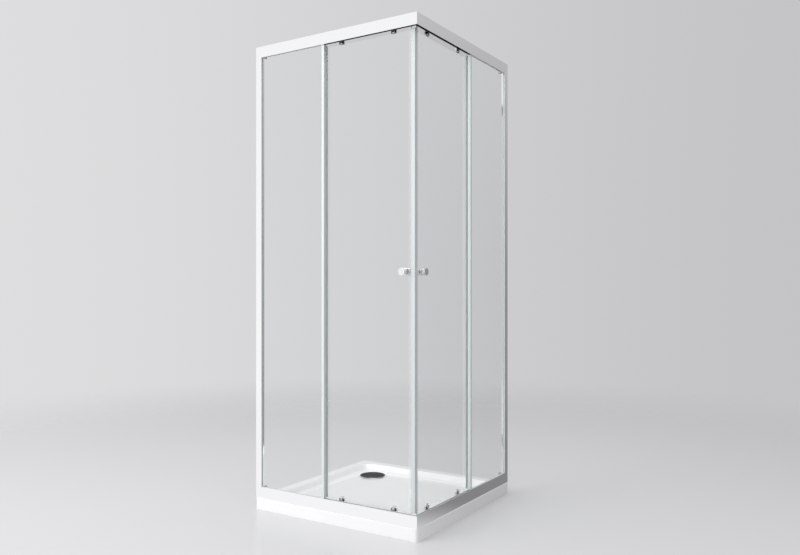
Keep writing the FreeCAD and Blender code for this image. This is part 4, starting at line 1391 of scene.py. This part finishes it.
@dataclass
class Studio:
    """A pale floor, soft light and the camera at the photograph's viewpoint."""

    eye: Point = (1.839, -2.776, 0.944)
    look: Point = (-0.5373, 0.8434, 0.0)
    sensor: float = 36.0
    lens: float = 34.1
    shift: float = 0.01
    floor_radius: float = 9.0
    floor_split: Pair = (-0.45, 0.35)
    floor_fade: Pair = (1.6, 4.6)
    floor_colour: Colour = (0.6, 0.6, 0.61)
    # Painted reflection: the floor as metal mirrors it, a glowing card from dark on the far side to bright on the
    # main lamp's side.
    painted_floor_reflection: tuple[Colour, Colour] = ((0.24, 0.24, 0.25), (0.97, 0.97, 0.98))
    backdrop: tuple[Colour, Colour] = ((0.55, 0.55, 0.56), (0.73, 0.73, 0.74))
    mirrored_backdrop: Sequence[tuple[float, Colour]] = (
        (0.0, (0.28, 0.28, 0.288)), (0.3, (0.36, 0.36, 0.37)), (0.62, (0.62, 0.62, 0.63)), (1.0, (1.0, 1.0, 1.0)),
    )
    mirrored_top: Colour = (0.95, 0.95, 0.96)
    top_span: Pair = (-0.05, 0.55)
    top_share: float = 0.55
    top_gain: float = 0.25
    lamp_way: Point = (-0.54, -0.84, 0.0)
    lamp_span: Pair = (-0.95, 0.9)
    left_way: Point = (-0.84, -0.54, 0.0)
    left_span: Pair = (-0.55, 0.55)
    lamps: Sequence[Softbox] = (
        Softbox("main_softbox", (-2.4, -4.2, 2.2), (0.0, 0.0, 0.9), (3.2, 3.4), 120.0),
        Softbox("top_softbox", (0.3, -0.5, 4.2), (0.0, 0.0, 0.0), (2.6, 2.6), 60.0, mirrored=True),
    )

    def build(self) -> None:
        """Build the floor, the light and the camera."""
        bpy.context.scene.view_settings.view_transform = "Standard"
        self._floor()
        self._world()
        for lamp in self.lamps:
            lamp.build()
        self._camera()

    def _floor(self) -> None:
        """A plain disc that fades into the backdrop. For glossy rays it shows a painted reflection instead: a
        glowing card, bright on the main lamp's side and dark on the other.
        """
        work = Workpiece()
        bmesh.ops.create_circle(work.bm, cap_ends=True, segments=96, radius=self.floor_radius)
        floor = placed("studio_floor", work.spent("studio_floor"))
        made = bpy.data.materials.new("studio_floor")
        made.use_nodes = True
        graph = Graph(made.node_tree)
        place = graph.node("TexCoord", output="Object")
        distance = graph.node("VectorMath", {"operation": "LENGTH"}, {0: place}, "Value")
        fade = graph.rise(distance, *self.floor_fade)
        ground = graph.principled({
            "Base Color": (*self.floor_colour, 1.0),
            "Roughness": 0.2,
            "Specular IOR Level": 0.5,
        })
        # Painted light: for glossy rays the floor glows as a card, darker away from the main lamp and brighter
        # toward it.
        side = graph.toward(place, self.lamp_way, *self.floor_split)
        painted_reflection_card = graph.node("Emission", {}, {
            "Color": graph.mixed(side, *self.painted_floor_reflection), "Strength": 1.0})
        mirrored = graph.ray("Glossy") * (1.0 - graph.ray("Transmission"))
        shown = graph.blended(mirrored, ground, painted_reflection_card)
        graph.node("OutputMaterial", {}, {"Surface": graph.blended(fade, shown, graph.clear())})
        floor.data.materials.append(made)

    def _world(self) -> None:
        """A pale backdrop, brighter on the side of the main lamp for what the metal mirrors."""
        world = bpy.data.worlds.new("studio")
        bpy.context.scene.world = world
        world.use_nodes = True
        graph = Graph(world.node_tree)
        way = graph.node("TexCoord", output="Generated")
        lit_side = graph.toward(way, self.lamp_way, *self.lamp_span)
        overhead = graph.toward(way, (0.0, 0.0, 1.0), *self.top_span)
        level = graph.node("ValToRGB", {"stops": self.mirrored_backdrop}, {"Fac": lit_side}, "Color")
        mirrored = graph.mixed(overhead * (self.top_share + lit_side * self.top_gain), level, self.mirrored_top)
        seen = (graph.ray("Camera") + graph.ray("Transmission")).clamped()
        left = graph.toward(way, self.left_way, *self.left_span)
        shown = graph.mixed(seen, mirrored, graph.mixed(left, *self.backdrop))
        light = graph.node("Background", {}, {"Color": shown, "Strength": 1.0})
        graph.node("OutputWorld", {}, {"Surface": light})

    def _camera(self) -> None:
        """The camera of the photograph."""
        data = bpy.data.cameras.new("camera")
        data.sensor_width = self.sensor
        data.lens = self.lens
        data.shift_y = self.shift
        camera = placed("camera", data)
        camera.location = self.eye
        camera.rotation_euler = Vector(self.look).to_track_quat("-Z", "Y").to_euler()
        bpy.context.scene.camera = camera


def main() -> None:
    """Build every sub-assembly in order."""
    logging.basicConfig(level=logging.INFO, format="%(name)s: %(message)s")
    Tray().build()
    Waste().build()
    for side in Side:
        Face(side).build()
    FrameScrews().build()
    Softened().build()
    Studio().build()


if __name__ == "__main__":
    main()
